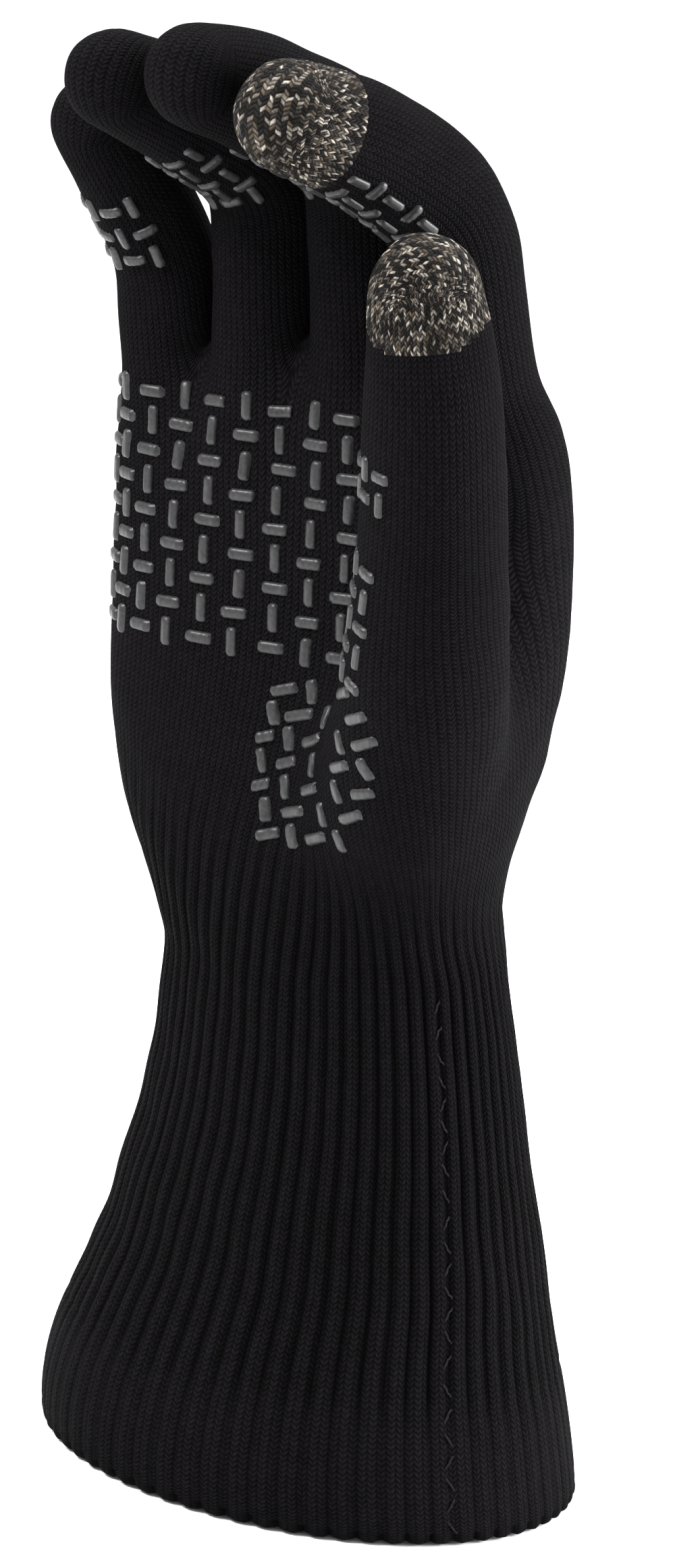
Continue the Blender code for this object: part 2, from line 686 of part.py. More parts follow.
grip("palm_grip", 9, 8, on_hand(radians(207), radians(292), 157, 199.5, 9, 8), (0, 0, 100))
THENAR = Spine(STUB, STUB_R, STUB_R, (1, 1), THUMB.side)
grip("thenar_grip", 4, 5, on_digit(THENAR, THENAR.js[1] - 6, THENAR.js[2] - 4, radians(-80), radians(-10), 4, 5), (0, 0, 100))
grip("thumb_side_grip", 3, 4, on_digit(THENAR, THENAR.js[2] + 3, THENAR.js[3] - 4, radians(-100), radians(-35), 3, 4), (0, 0, 100))
for key, s_lo, s_hi, nv in (("little", 6.5, 5.0, 2), ("ring", 9.5, 5.0, 3), ("middle", 9.5, 5.0, 3), ("index", 7.0, 4.5, 3)):
    sp = DIGITS[key]
    a0, a1 = radians(-148), radians(-32)
    grip(key + "_grip", 4, nv, on_digit(sp, sp.js[1] + s_lo, sp.js[2] - s_hi, a0, a1, 4, nv), tuple(sp.pts[1]), phase=1)
grip("thumb_middle_grip", 3, 2, on_digit(THUMB, THUMB.js[1] + 3.5, THUMB.js[2] - 4.5, radians(-105), radians(-40), 3, 2), t1)
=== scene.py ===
"""Visual model of a right-hand long-cuff knit touchscreen glove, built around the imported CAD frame."""
import bpy
import numpy as np
from math import radians, sin, cos, pi, sqrt
from mathutils import Vector, Matrix

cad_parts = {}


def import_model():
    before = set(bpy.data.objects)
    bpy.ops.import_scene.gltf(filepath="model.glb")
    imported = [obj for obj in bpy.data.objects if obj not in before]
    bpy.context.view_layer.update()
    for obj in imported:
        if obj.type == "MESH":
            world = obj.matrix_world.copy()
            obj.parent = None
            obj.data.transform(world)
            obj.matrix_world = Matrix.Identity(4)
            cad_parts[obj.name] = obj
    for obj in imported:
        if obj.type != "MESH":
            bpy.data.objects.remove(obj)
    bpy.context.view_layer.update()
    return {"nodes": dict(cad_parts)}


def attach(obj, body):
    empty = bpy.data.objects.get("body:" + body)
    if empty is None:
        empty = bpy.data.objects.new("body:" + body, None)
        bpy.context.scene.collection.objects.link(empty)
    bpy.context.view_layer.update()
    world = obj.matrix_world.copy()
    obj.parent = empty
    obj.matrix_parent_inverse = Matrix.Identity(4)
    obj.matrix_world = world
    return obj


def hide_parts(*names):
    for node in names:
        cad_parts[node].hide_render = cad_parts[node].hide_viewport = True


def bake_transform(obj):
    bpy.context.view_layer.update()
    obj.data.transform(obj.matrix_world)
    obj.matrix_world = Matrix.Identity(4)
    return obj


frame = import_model()
RNG = np.random.default_rng(11)

# ------------------------------------------------------------------ hand frame, mm (as in the CAD)
U = np.array([cos(radians(44)), sin(radians(44)), 0.0])
LEAN = np.array(Matrix.Rotation(radians(-5.6), 3, Vector((-U[1], U[0], 0))))
HEM = np.array([-3.6, -3.5, 0.0])
HEM_N = LEAN.T @ np.array([0, 0, 1.0])


def world(P):
    return (np.asarray(P, float) - HEM) @ LEAN.T * 0.001


def unit(v):
    v = np.asarray(v, float)
    return v / np.maximum(np.linalg.norm(v, axis=-1, keepdims=True), 1e-9)


class Spine:
    """Centre line with rounded corners, carried frames and a tapering oval section, sampled densely."""

    def __init__(self, pts, w, d, h, side, lead=22.0, lead_pts=(), lead_r=()):
        pts = [np.array(p, float) for p in pts]
        if lead_pts:
            chain = [np.array(p, float) for p in lead_pts] + pts
            wr, dr = list(lead_r) + list(w), list(lead_r) + list(d)
            hs = [6.0] * len(lead_pts) + list(h)
        else:
            first = pts[0] - unit(pts[1] - pts[0]) * lead
            chain = [first] + pts
            wr, dr = [w[0]] + list(w), [d[0]] + list(d)
            hs = [0.01] + list(h)
        out, cur = [], chain[0]
        for i in range(1, len(chain) - 1):
            p, a, b = chain[i], chain[i - 1], chain[i + 1]
            da, db = unit(p - a), unit(b - p)
            s, e = p - da * hs[i - 1], p + db * hs[i - 1]
            n = max(2, int(np.linalg.norm(s - cur) / 0.7))
            out += [cur + (s - cur) * t / n for t in range(n)]
            m = 20 if hs[i - 1] > 0.1 else 2
            out += [s * (1 - t) ** 2 + p * 2 * t * (1 - t) + e * t * t for t in np.arange(m) / m]
            cur = e
        n = max(2, int(np.linalg.norm(chain[-1] - cur) / 0.7))
        out += [cur + (chain[-1] - cur) * t / n for t in range(n + 1)]
        self.p = np.array(out)
        seg = np.linalg.norm(np.diff(self.p, axis=0), axis=1)
        self.s = np.concatenate([[0], np.cumsum(seg)])
        k = [self.s[np.argmin(np.linalg.norm(self.p - q, axis=1))] for q in chain]
        k[-1] = self.s[-1]
        self.js = k[len(chain) - len(pts):]
        t = np.gradient(self.p, axis=0)
        t = unit(t)
        for _ in range(6):
            t[1:-1] = unit(t[:-2] + t[1:-1] * 2 + t[2:])
        self.t = t
        side = unit(np.array(side, float))
        self.x = unit(side - t * (t @ side)[:, None])
        self.y = np.cross(t, self.x)
        # smooth the section sizes along the digit
        self.w = np.interp(self.s, k, wr)
        self.d = np.interp(self.s, k, dr)
        for arr in (self.w, self.d):
            for _ in range(40):
                arr[1:-1] = (arr[:-2] + arr[1:-1] * 2 + arr[2:]) / 4
        self.rt = (self.w[-1] + self.d[-1]) / 2 * 1.02

    def lerp(self, arr, s):
        s = np.asarray(s, float)
        if arr.ndim == 1:
            return np.interp(s, self.s, arr)
        return np.stack([np.interp(s, self.s, arr[:, k]) for k in range(3)], -1)

    def at(self, s, ang, k=1.0, off=0.0):
        p, x, y = self.lerp(self.p, s), unit(self.lerp(self.x, s)), unit(self.lerp(self.y, s))
        w, d = self.lerp(self.w, s) - off, self.lerp(self.d, s) - off
        return p + x * (w * np.cos(ang) * k)[..., None] + y * (d * np.sin(ang) * k)[..., None]

    def field(self, Q):
        out = np.empty(len(Q))
        for a in range(0, len(Q), 4000):
            q = Q[a:a + 4000]
            i = np.argmin(((q[:, None, :] - self.p[None]) ** 2).sum(-1), axis=1)
            r = q - self.p[i]
            al = (r * self.t[i]).sum(1)
            qx, qy = (r * self.x[i]).sum(1), (r * self.y[i]).sum(1)
            rad = np.sqrt(qx ** 2 + qy ** 2) + 1e-9
            rho = np.sqrt((qx / self.w[i]) ** 2 + (qy / self.d[i]) ** 2) + 1e-9
            f = rad * (1 - 1 / rho)
            tip = (i >= len(self.p) - 2) & (al > 0)
            r3 = np.sqrt(rad ** 2 + al ** 2) + 1e-9
            rho3 = np.sqrt((qx / self.w[i]) ** 2 + (qy / self.d[i]) ** 2 + (al / self.rt) ** 2) + 1e-9
            root = (i <= 1) & (al < 0)
            rho4 = np.sqrt(rho ** 2 + (al / self.w[0]) ** 2)
            out[a:a + 4000] = np.where(tip, r3 * (1 - 1 / rho3), np.where(root, r3 * (1 - 1 / rho4), f))
        return out


FING = ("little", "ring", "middle", "index")
DIG = {
    "little": Spine([(-31.9, -8.5, 203), (-33.1, -10, 229), (-33.5, -20.5, 245), (-33.3, -28, 255)],
                    (9.9, 9.4, 8.9, 8.4), (10.4, 9.9, 9.3, 8.5), (7, 5), (1, 0, 0)),
    "ring": Spine([(-12.5, -3.5, 207.5), (-13, -3.5, 247), (-13, -30, 261), (-13, -43, 267)],
                  (10.7, 10.4, 9.7, 9.2), (11.3, 11.1, 10.3, 9.3), (12, 6), (1, 0, 0)),
    "middle": Spine([(9.2, 1.0, 210), (9, -1, 252), (8.3, -30, 266), (7.7, -43, 270)],
                    (11.0, 10.6, 10.0, 9.6), (11.7, 11.5, 10.9, 9.7), (12, 6), (1, 0, 0)),
    "index": Spine([(32.5, 2.5, 209.5), (32, -3, 245), (30.6, -27, 260), (29.6, -42, 265.5)],
                   (11.6, 11.2, 10.4, 9.9), (12.3, 11.9, 11.2, 10.2), (11, 7), (1, 0, 0)),
}
THUMB = Spine([(48.6, -24.9, 187), (50.2, -26.6, 200), (52.5, -29.2, 217.5), (51.4, -30, 235.8)],
              (13.4, 13.0, 12.3, 10.2), (13.4, 13.0, 12.3, 10.2), (3, 5), (0.695, -0.72, 0),
              lead_pts=[(15, 2, 108), (27, -8.5, 134), (43, -20.8, 162)], lead_r=[10.0, 18.0, 15.2])

HAND = np.array([
    (100, 35.0, 25.0, 6, 2.05, 0.1), (112, 36.3, 24.3, 7, 2.1, -1.9), (124, 40.0, 23.0, 9, 2.2, -2.7),
    (136, 43.5, 21.5, 11, 2.4, -1.6), (148, 45.5, 20.4, 12, 2.5, -0.6), (162, 46.8, 19.3, 12, 2.6, 0.7),
    (178, 46.9, 18.2, 12, 2.6, 1.4), (192, 46.6, 17.0, 11, 2.6, 1.8), (200, 45.9, 15.4, 10, 2.6, 1.6),
    (212, 44.6, 13.6, 10, 2.5, 1.4)])
CUFF = np.array([(0, 50.6, -5.0), (10, 49.9, -5.3), (19, 48.2, -4.9), (31, 44.7, -3.6), (43, 41.4, -1.8),
                 (55, 38.8, -1.1), (68, 36.0, -0.1), (82, 33.8, 0.3), (100, 31.6, 0.1)])
RIDGE = np.array([(-50, 201.5), (-33, 204.5), (-12, 208.0), (9, 210.0), (32, 209.5), (50, 206.0)])


def smooth_table(x, T, col):
    """Cubic (Catmull-Rom) reading of a table."""
    X, Y = T[:, 0], T[:, col]
    m = np.gradient(Y, X)
    i = np.clip(np.searchsorted(X, x) - 1, 0, len(X) - 2)
    h = X[i + 1] - X[i]
    t = np.clip((x - X[i]) / h, 0, 1)
    return ((2 * t ** 3 - 3 * t ** 2 + 1) * Y[i] + (t ** 3 - 2 * t ** 2 + t) * h * m[i]
            + (-2 * t ** 3 + 3 * t ** 2) * Y[i + 1] + (t ** 3 - t ** 2) * h * m[i + 1])


def hand_at(z, ang):
    z = np.asarray(z, float)
    a, b, phi, n, c = [smooth_table(z, HAND, k) for k in range(1, 6)]
    phi = np.radians(phi)
    ca, sa = np.cos(ang), np.sin(ang)
    r = (np.abs(ca) ** n + np.abs(sa) ** n) ** (-1.0 / n)
    lx, ly = a * ca * r, b * sa * r
    return np.stack([U[0] * c + lx * np.cos(phi) - ly * np.sin(phi),
                     U[1] * c + lx * np.sin(phi) + ly * np.cos(phi), z + 0 * lx], -1)


def hand_field(Q):
    z = np.clip(Q[:, 2], 100, 212)
    a, b, phi, n, c = [smooth_table(z, HAND, k) for k in range(1, 6)]
    phi = np.radians(phi)
    dx, dy = Q[:, 0] - U[0] * c, Q[:, 1] - U[1] * c
    lx, ly = dx * np.cos(phi) + dy * np.sin(phi), -dx * np.sin(phi) + dy * np.cos(phi)
    # the palm is a little cupped
    cup = np.exp(-((lx - 2) / 19) ** 2) * np.clip((z - 125) / 30, 0, 1) * np.clip((214 - z) / 20, 0, 1)
    b = np.where(ly < 0, b * (1 - 0.13 * cup), b)
    rad = np.sqrt(lx ** 2 + ly ** 2) + 1e-9
    rho = ((np.abs(lx) / a) ** n + (np.abs(ly) / b) ** n) ** (1 / n) + 1e-9
    f = rad * (1 - 1 / rho)
    top = Q[:, 2] - np.interp(Q[:, 0], RIDGE[:, 0], RIDGE[:, 1])
    return -smin(-f, -top, 7.0)


def smin(a, b, k):
    h = np.maximum(k - np.abs(a - b), 0) / k
    return np.minimum(a, b) - h * h * k / 4


def cuff_at(h, ang, off=0.0):
    h = np.asarray(h, float)
    e, c = smooth_table(h, CUFF, 1), smooth_table(h, CUFF, 2)
    a = 35.0 + (e - 31.6) - off
    b = 25.0 + (e - 31.6) * 1.026 - off
    phi = radians(6)
    lx, ly = a * np.cos(ang), b * np.sin(ang)
    dx, dy = lx * cos(phi) - ly * sin(phi), lx * sin(phi) + ly * cos(phi)
    z = h - (1 - h / 100.0) * (HEM_N[0] * dx + HEM_N[1] * dy) / HEM_N[2]
    return np.stack([HEM[0] + U[0] * (c + 5.0) + dx, HEM[1] + U[1] * (c + 5.0) + dy, z], -1)


# ------------------------------------------------------------------ knit layout, counted in wales
P, K = 15, 10                 # wales on each face of a finger, and down each side
HN = 8 * P + 2 * K            # 140 wales round the hand above the thumb
TI, TO = 15, 45               # thumb wales: inside the crotch, and coming up from the wrist
TN = TI + TO                  # 60 round the thumb
TR = HN - TI + TO             # 170 round the wrist and cuff
IB, IA = 45, 60               # hand columns where the thumb's crotch starts and ends

verts, meta = [], []          # position; (free weight, group)
faces, fuv, fpiece = [], [], []
PIECES = ["cuff", "wrist", "hand"]


def add(p, free, group):
    verts.append(np.array(p, float))
    meta.append((free, group))
    return len(verts) - 1


def quad_rows(a, b, u0, v0, v1, piece, closed=True, us=None):
    """Quads between two rows of vertex numbers, with knit coordinates."""
    n = len(a) if closed else len(a) - 1
    for i in range(n):
        j = (i + 1) % len(a)
        faces.append((a[i], a[j], b[j], b[i]))
        ui = (u0 + i, u0 + i + 1) if us is None else us[i]
        fuv.append(((ui[0], v0), (ui[1], v0), (ui[1], v1), (ui[0], v1)))
        fpiece.append(piece)


def piece_id(name):
    if name not in PIECES:
        PIECES.append(name)
    return PIECES.index(name)


# cuff rows
ANG0 = radians(195)
ang_tr = ANG0 + np.arange(TR) / TR * 2 * pi
COURSE = 1.0                                       # courses per mm
rows_tr = []
hem_prof = [(19.0, 3.7), (13.0, 3.7), (7.0, 3.7), (2.2, 3.6), (0.7, 3.2), (0.0, 2.2), (0.0, 1.3), (0.6, 0.3)]
for h, off in hem_prof:
    rows_tr.append([add(p, 0, "fix") for p in cuff_at(np.full(TR, h), ang_tr, off)])
hs = [2.2] + list(np.arange(5, 101, 95 / 24))
for h in hs:
    rows_tr.append([add(p, 0, "fix") for p in cuff_at(np.full(TR, h), ang_tr)])
n_hem = len(hem_prof)
vcount = -4.0 * n_hem
for r in range(len(rows_tr) - 1):
    h = 0 if r < n_hem else hs[r - n_hem]
    pc = "cuff" if h < 83 else "wrist"
    quad_rows(rows_tr[r], rows_tr[r + 1], 0, vcount, vcount + 4, piece_id(pc))
    vcount += 4
CUFF_END = rows_tr[-1]

# hand ring positions by column at a height
XM = np.array([-41.5, -22.8, -1.8, 20.8, 42.0])


def hand_col(idx, z):
    """Point on the hand section for column idx of 140 at height z."""
    z = float(z)
    a, b, phi, n, c = [float(smooth_table(np.array(z), HAND, k)) for k in range(1, 6)]
    sc = a / 46.6
    idx = idx % HN
    if idx <= 60:
        x = np.interp(idx, [0, 15, 30, 45, 60], XM) * sc
        y = -b * max(0.0, 1 - abs(x / a) ** n) ** (1 / n)
    elif idx < 70:
        x0 = XM[4] * sc
        y0 = b * (1 - abs(x0 / a) ** n) ** (1 / n)
        y = -y0 + 2 * y0 * (idx - 60) / 10
        x = a * (1 - abs(y / b) ** n) ** (1 / n)
    elif idx <= 130:
        x = np.interp(idx, [70, 85, 100, 115, 130], XM[::-1]) * sc
        y = b * max(0.0, 1 - abs(x / a) ** n) ** (1 / n)
    else:
        x0 = XM[0] * sc
        y0 = b * (1 - abs(x0 / a) ** n) ** (1 / n)
        y = y0 - 2 * y0 * (idx - 130) / 10
        x = -a * (1 - abs(y / b) ** n) ** (1 / n)
    phi = radians(phi)
    return np.array([U[0] * c + x * cos(phi) - y * sin(phi), U[1] * c + x * sin(phi) + y * cos(phi), z])


def split_z(idx):
    d = (IB - idx) % HN
    return 158 + 31 * d / (HN - TI)


thumb_ang = np.radians(126 - 6 * np.arange(TN))
THUMB_Z = THUMB.p[:, 2]


def thumb_s(z):
    return float(np.interp(z, THUMB_Z, THUMB.s))


split = []                                         # 170 positions
for i in range(IB + 1):
    split.append(hand_col(i, split_z(i)))
for m in range(1, TO):
    k = TO - m                                      # thumb column
    f = k / TO
    f = f * f * (3 - 2 * f)
    z = 189 + (158 - 189) * f
    q = THUMB.at(np.array([thumb_s(z)]), np.array([thumb_ang[k]]))[0]
    e = min(k, TO - k) / 5.0
    if e < 1:
        A = hand_col(IA, 189) if k < TO / 2 else hand_col(IB, 158)
        q = A + (q - A) * (0.25 + 0.75 * e)
    split.append(q)
for idx in range(IA, HN):
    split.append(hand_col(idx, split_z(idx)))
split = np.array(split)
assert len(split) == TR
wrist = cuff_at(np.full(TR, 100.0), ang_tr)

NR = 18
for r in range(1, NR + 1):
    f = r / NR
    q = wrist + (split - wrist) * f
    ids = [add(p, min(1.0, r / 5), "trunk") for p in q]
    quad_rows(rows_tr[-1], ids, 0, vcount, vcount + 4, piece_id("wrist" if r <= 6 else "hand"))
    vcount += 4
    rows_tr.append(ids)
SPLIT = rows_tr[-1]
V_SPLIT = vcount

# crotch between thumb and hand: TI-1 new vertices from B to A
Bv, Av = SPLIT[IB], SPLIT[IB + TO]
crotch = [Bv]
for m in range(1, TI):
    idx = IB + m
    f = m / TI
    z = 158 + 31 * f + 5 * sin(pi * f)
    h = hand_col(idx, z)
    t = THUMB.at(np.array([thumb_s(z)]), np.array([radians(-144 - 6 * m)]))[0]
    crotch.append(add((h + t) / 2, 1.0, "trunk"))
crotch.append(Av)

# hand ring above the crotch
ring = [SPLIT[i] for i in range(IB)] + crotch + [SPLIT[IB + TO + 1 + i] for i in range(HN - IA - 1)]
assert len(ring) == HN


def finger_base(idx):
    """Start position of the fingers' line for hand column idx."""
    idx = idx % HN
    if idx <= 60:
        f = min(3, idx // 15)
        j = idx - 15 * f
        q = DIG[FING[f]]
        p = q.at(np.array([q.js[0] - 4.0]), np.array([radians(-144 + 7.2 * j)]))[0]
        if j == 0 and f > 0:
            g = DIG[FING[f - 1]]
            p = (p + g.at(np.array([g.js[0] - 4.0]), np.array([radians(-36)]))[0]) / 2
        return p
    if idx < 70:
        q = DIG["index"]
        return q.at(np.array([q.js[0] - 4.0]), np.array([radians(-36 + 7.2 * (idx - 60))]))[0]
    if idx <= 130:
        f = min(3, (idx - 70) // 15)
        j = (idx - 70) - 15 * f
        q = DIG[FING[3 - f]]
        p = q.at(np.array([q.js[0] - 5.0]), np.array([radians(36 + 7.2 * j)]))[0]
        if j == 0 and f > 0:
            g = DIG[FING[4 - f]]
            p = (p + g.at(np.array([g.js[0] - 5.0]), np.array([radians(144)]))[0]) / 2
        return p
    q = DIG["little"]
    return q.at(np.array([q.js[0] - 4.0]), np.array([radians(144 + 7.2 * (idx - 130))]))[0]


top = np.array([finger_base(i) for i in range(HN)])
base = np.array([verts[i] for i in ring])
NH = 10
prev = ring
for r in range(1, NH + 1):
    f = r / NH
    q = base + (top - base) * f
    ids = [add(p, 1.0, "trunk") for p in q]
    quad_rows(prev, ids, 0, V_SPLIT + 4 * (r - 1), V_SPLIT + 4 * r, piece_id("hand"))
    prev = ids
TOP = prev
V_TOP = V_SPLIT + 4 * NH

# saddles between the fingers
saddle = {}
for g in range(3):
    a, b = FING[g], FING[g + 1]
    front, back = TOP[15 * (g + 1)], TOP[70 + 15 * (3 - g)]
    ids = [front]
    for m in range(1, K):
        f = m / K
        pa = DIG[a].at(np.array([DIG[a].js[0] - 4 + 5 * sin(pi * f)]), np.array([radians(-36 + 7.2 * m)]))[0]
        pb = DIG[b].at(np.array([DIG[b].js[0] - 4 + 5 * sin(pi * f)]), np.array([radians(-144 - 7.2 * m)]))[0]
        ids.append(add((pa + pb) / 2, 1.0, "trunk"))
    ids.append(back)
    saddle[g] = ids


def cap(ringids, na, nb, v0, u0, piece, sp, s_end, group, start_angles, vstep):
    """Close a tube with a grid: ring = na front, nb side, na back, nb side."""
    n = 2 * (na + nb)
    corner = ringids
    grid = {}
    for i in range(na + 1):
        grid[i, 0] = corner[i]                                   # front edge
        grid[na - i, nb] = corner[(na + nb + i) % n]             # back edge
    for j in range(nb + 1):
        grid[na, j] = corner[(na + j) % n]                       # side after the front
        grid[0, nb - j] = corner[(2 * na + nb + j) % n]          # side after the back
    p0, t = sp.p[-1], sp.t[-1]
    x, y = sp.x[-1], sp.y[-1]
    w, d, rt = sp.w[-1], sp.d[-1], sp.rt
    for i in range(1, na):
        for j in range(1, nb):
            fx, fy = 2 * i / na - 1, 2 * j / nb - 1
            a_, b_ = fx * sqrt(1 - fy * fy / 2), fy * sqrt(1 - fx * fx / 2)
            h = sqrt(max(0.02, 1 - a_ * a_ - b_ * b_))
            grid[i, j] = add(p0 + x * (a_ * w) + y * (b_ * d) + t * (h * rt), 1.0, group)
    for i in range(na):
        for j in range(nb):
            faces.append((grid[i, j], grid[i + 1, j], grid[i + 1, j + 1], grid[i, j + 1]))
            va, vb = v0 + vstep * j, v0 + vstep * (j + 1)
            fuv.append(((u0 + i, va), (u0 + i + 1, va), (u0 + i + 1, vb), (u0 + i, vb)))
            fpiece.append(piece)


# fingers
CUTS = {}
for fi, name in enumerate(FING):
    sp = DIG[name]
    f0 = 15 * fi
    front = [TOP[f0 + i] for i in range(P + 1)]
    back = [TOP[70 + 15 * (3 - fi) + i] for i in range(P + 1)]
    rad = saddle[fi] if fi < 3 else [TOP[60 + i] for i in range(K + 1)]
    uln = (list(reversed(saddle[fi - 1])) if fi > 0 else [TOP[(130 + i) % HN] for i in range(K + 1)])
    ring0 = front[:-1] + rad[:-1] + back[:-1] + uln[:-1]
    assert len(ring0) == 50, name
    ang = np.radians(-144 + 7.2 * np.arange(50))
    j0, j1, j2, j3 = sp.js
    c1 = j1 - 17 if name != "little" else j1 - 8.5
    c2 = j1 + (14 if name != "little" else 9.5)
    CUTS[name] = (c1, c2)
    # ring heights: 3 mm above the hinge, then about 4 mm apart with rings on the cuts
    ss = [j0 + 3.0]
    for a_, b_ in ((j0 + 3.0, c1), (c1, c2), (c2, j3)):
        m = max(1, round((b_ - a_) / 4.0))
        ss += [a_ + (b_ - a_) * (q + 1) / m for q in range(m)]
    prev, v = ring0, V_TOP
    for r, s in enumerate(ss):
        pos = sp.at(np.full(50, s), ang)
        free = (0.55, 0.4, 0.2)[r] if r < 3 else 0.0
        ids = [add(p, free, name) for p in pos]
        pc = name + ("_a" if s <= c1 + 0.01 else "_b" if s <= c2 + 0.01 else "_c")
        quad_rows(prev, ids, 0, v, v + 4, piece_id("hand" if r == 0 else pc))
        prev, v = ids, v + 4
    cap(prev, P, K, v, 0, piece_id(name + "_c"), sp, j3, name + "_cap", ang, 3)

# thumb: ring starts at A, goes round the outside to B, then along the crotch back to A
ring0 = [SPLIT[IB + TO - k] for k in range(TO)] + crotch[:-1]
assert len(ring0) == TN
sz = [191.0, 194.3, 197.6, 201.5, 206.0, 209.5, 213.5, 217.5, 221.5, 225.5, 229, 232.5, 235.8]
prev, v = ring0, V_SPLIT
first = thumb_s(191.0)
NTB = 7
ring191 = THUMB.at(np.full(TN, first), thumb_ang)
b0 = np.array([verts[i] for i in ring0])
for r in range(1, NTB + 1):
    f = r / NTB
    ids = [add(p, 1.0 if r < NTB else 0.3, "thumb") for p in b0 + (ring191 - b0) * f]
    quad_rows(ids, prev, 0, v + 4, v, piece_id("hand" if r <= 3 else "thumb_a"),
              us=[(TN - i, TN - i - 1) for i in range(TN)])
    prev, v = ids, v + 4
for q, z in enumerate(sz[1:]):
    s = thumb_s(z) if z < 235.8 else THUMB.s[-1]
    ids = [add(p, 0.0 if q > 1 else 0.2, "thumb") for p in THUMB.at(np.full(TN, s), thumb_ang)]
    pc = "thumb_a" if z <= 197.7 else "thumb_b" if z <= 209.6 else "thumb_c"
    quad_rows(ids, prev, 0, v + 4, v, piece_id(pc), us=[(TN - i, TN - i - 1) for i in range(TN)])
    prev, v = ids, v + 4
# cap: pad 20, camera side 10, nail 20, inner side 10; the ring runs clockwise, so it is reversed
rev = [prev[(46 - i) % TN] for i in range(TN)]
cap(rev, 20, 10, v, 0, piece_id("thumb_c"), THUMB, 0, "thumb_cap", None, 3)

V = np.array(verts)
F = np.array(faces)
free = np.array([m[0] for m in meta])
group = np.array([m[1] for m in meta])

# ------------------------------------------------------------------ relax on the glove's surface
edges = np.concatenate([F[:, [0, 1]], F[:, [1, 2]], F[:, [2, 3]], F[:, [3, 0]]])
edges = np.unique(np.sort(edges, axis=1), axis=0)
deg = np.bincount(edges.ravel(), minlength=len(V)).astype(float)


def laplace(X):
    out = np.empty_like(X)
    for k in range(3):
        out[:, k] = (np.bincount(edges[:, 0], X[edges[:, 1], k], len(X))
                     + np.bincount(edges[:, 1], X[edges[:, 0], k], len(X)))
    return out / deg[:, None]


def trunk_field(Q):
    f = smin(hand_field(Q), THUMB.field(Q), 10.0)
    g = np.minimum.reduce([DIG[n].field(Q) for n in FING])
    return smin(f, g, 6.0)


def finger_field(name):
    def f(Q):
        return smin(DIG[name].field(Q), hand_field(Q), 5.0)
    return f


FIELDS = {"trunk": trunk_field,
          "thumb": lambda Q: smin(hand_field(Q), THUMB.field(Q), 8.0), "thumb_cap": THUMB.field}
for n_ in FING:
    FIELDS[n_] = finger_field(n_)
    FIELDS[n_ + "_cap"] = DIG[n_].field


def project(X, idx, fn, steps=1):
    q = X[idx]
    for _ in range(steps):
        e = 0.25
        f = fn(q)
        g = np.stack([(fn(q + d) - f) / e for d in np.eye(3) * e], -1)
        n = np.maximum((g ** 2).sum(1), 0.15)
        q = q - g * (np.clip(f, -6, 6) / n)[:, None]
    X[idx] = q


groups = {}
for name_ in FIELDS:
    ids = np.where((group == name_) & (free > 0))[0]
    if len(ids):
        groups[name_] = ids
ITER = 46
for it in range(ITER):
    L = laplace(V)
    V = V + (L - V) * (free * 0.7)[:, None]
    if it % 3 == 2 or it == ITER - 1:
        for name_, ids in groups.items():
            project(V, ids, FIELDS[name_], 2 if it == ITER - 1 else 1)
for name_, ids in groups.items():
    project(V, ids, FIELDS[name_], 1)
L = laplace(V)
V = V + (L - V) * (free * 0.35)[:, None]

# ------------------------------------------------------------------ fine mesh: four samples to a wale
me = bpy.data.meshes.new("coarse")
me.from_pydata([tuple(v) for v in V], [], [tuple(int(i) for i in f) for f in F])
uvl = me.uv_layers.new(name="knit")
uvl.data.foreach_set("uv", np.array(fuv, dtype=np.float32).reshape(-1))
for _ in PIECES:
    me.materials.append(None)
me.polygons.foreach_set("material_index", np.array(fpiece, dtype=np.int32))
ob = bpy.data.objects.new("coarse", me)
bpy.context.scene.collection.objects.link(ob)
m = ob.modifiers.new("s", "SUBSURF")
m.levels = m.render_levels = 2
m.uv_smooth = "NONE"
m.boundary_smooth = "PRESERVE_CORNERS"
fm = bpy.data.meshes.new_from_object(ob.evaluated_get(bpy.context.evaluated_depsgraph_get()))
bpy.data.objects.remove(ob, do_unlink=True)
nv, nf = len(fm.vertices), len(fm.polygons)
FV = np.empty(nv * 3, dtype=np.float32); fm.vertices.foreach_get("co", FV); FV = FV.reshape(-1, 3).astype(float)
FN = np.empty(nv * 3, dtype=np.float32); fm.vertices.foreach_get("normal", FN); FN = FN.reshape(-1, 3).astype(float)
FQ = np.empty(nf * 4, dtype=np.int32); fm.loops.foreach_get("vertex_index", FQ); FQ = FQ.reshape(-1, 4)
FUV = np.empty(nf * 8, dtype=np.float32); fm.uv_layers[0].data.foreach_get("uv", FUV); FUV = FUV.reshape(-1, 4, 2)
FP = np.empty(nf, dtype=np.int32); fm.polygons.foreach_get("material_index", FP)
uv_v = np.zeros((nv, 2)); uv_v[FQ.reshape(-1)] = FUV.reshape(-1, 2)
print("fine mesh", nv, nf)

WV = world(FV)                                     # row frame, metres
HW = WV[:, 2] * 1000                               # height over the hem's edge, mm


def step(x):
    x = np.clip(x, 0, 1)
    return x * x * (3 - 2 * x)


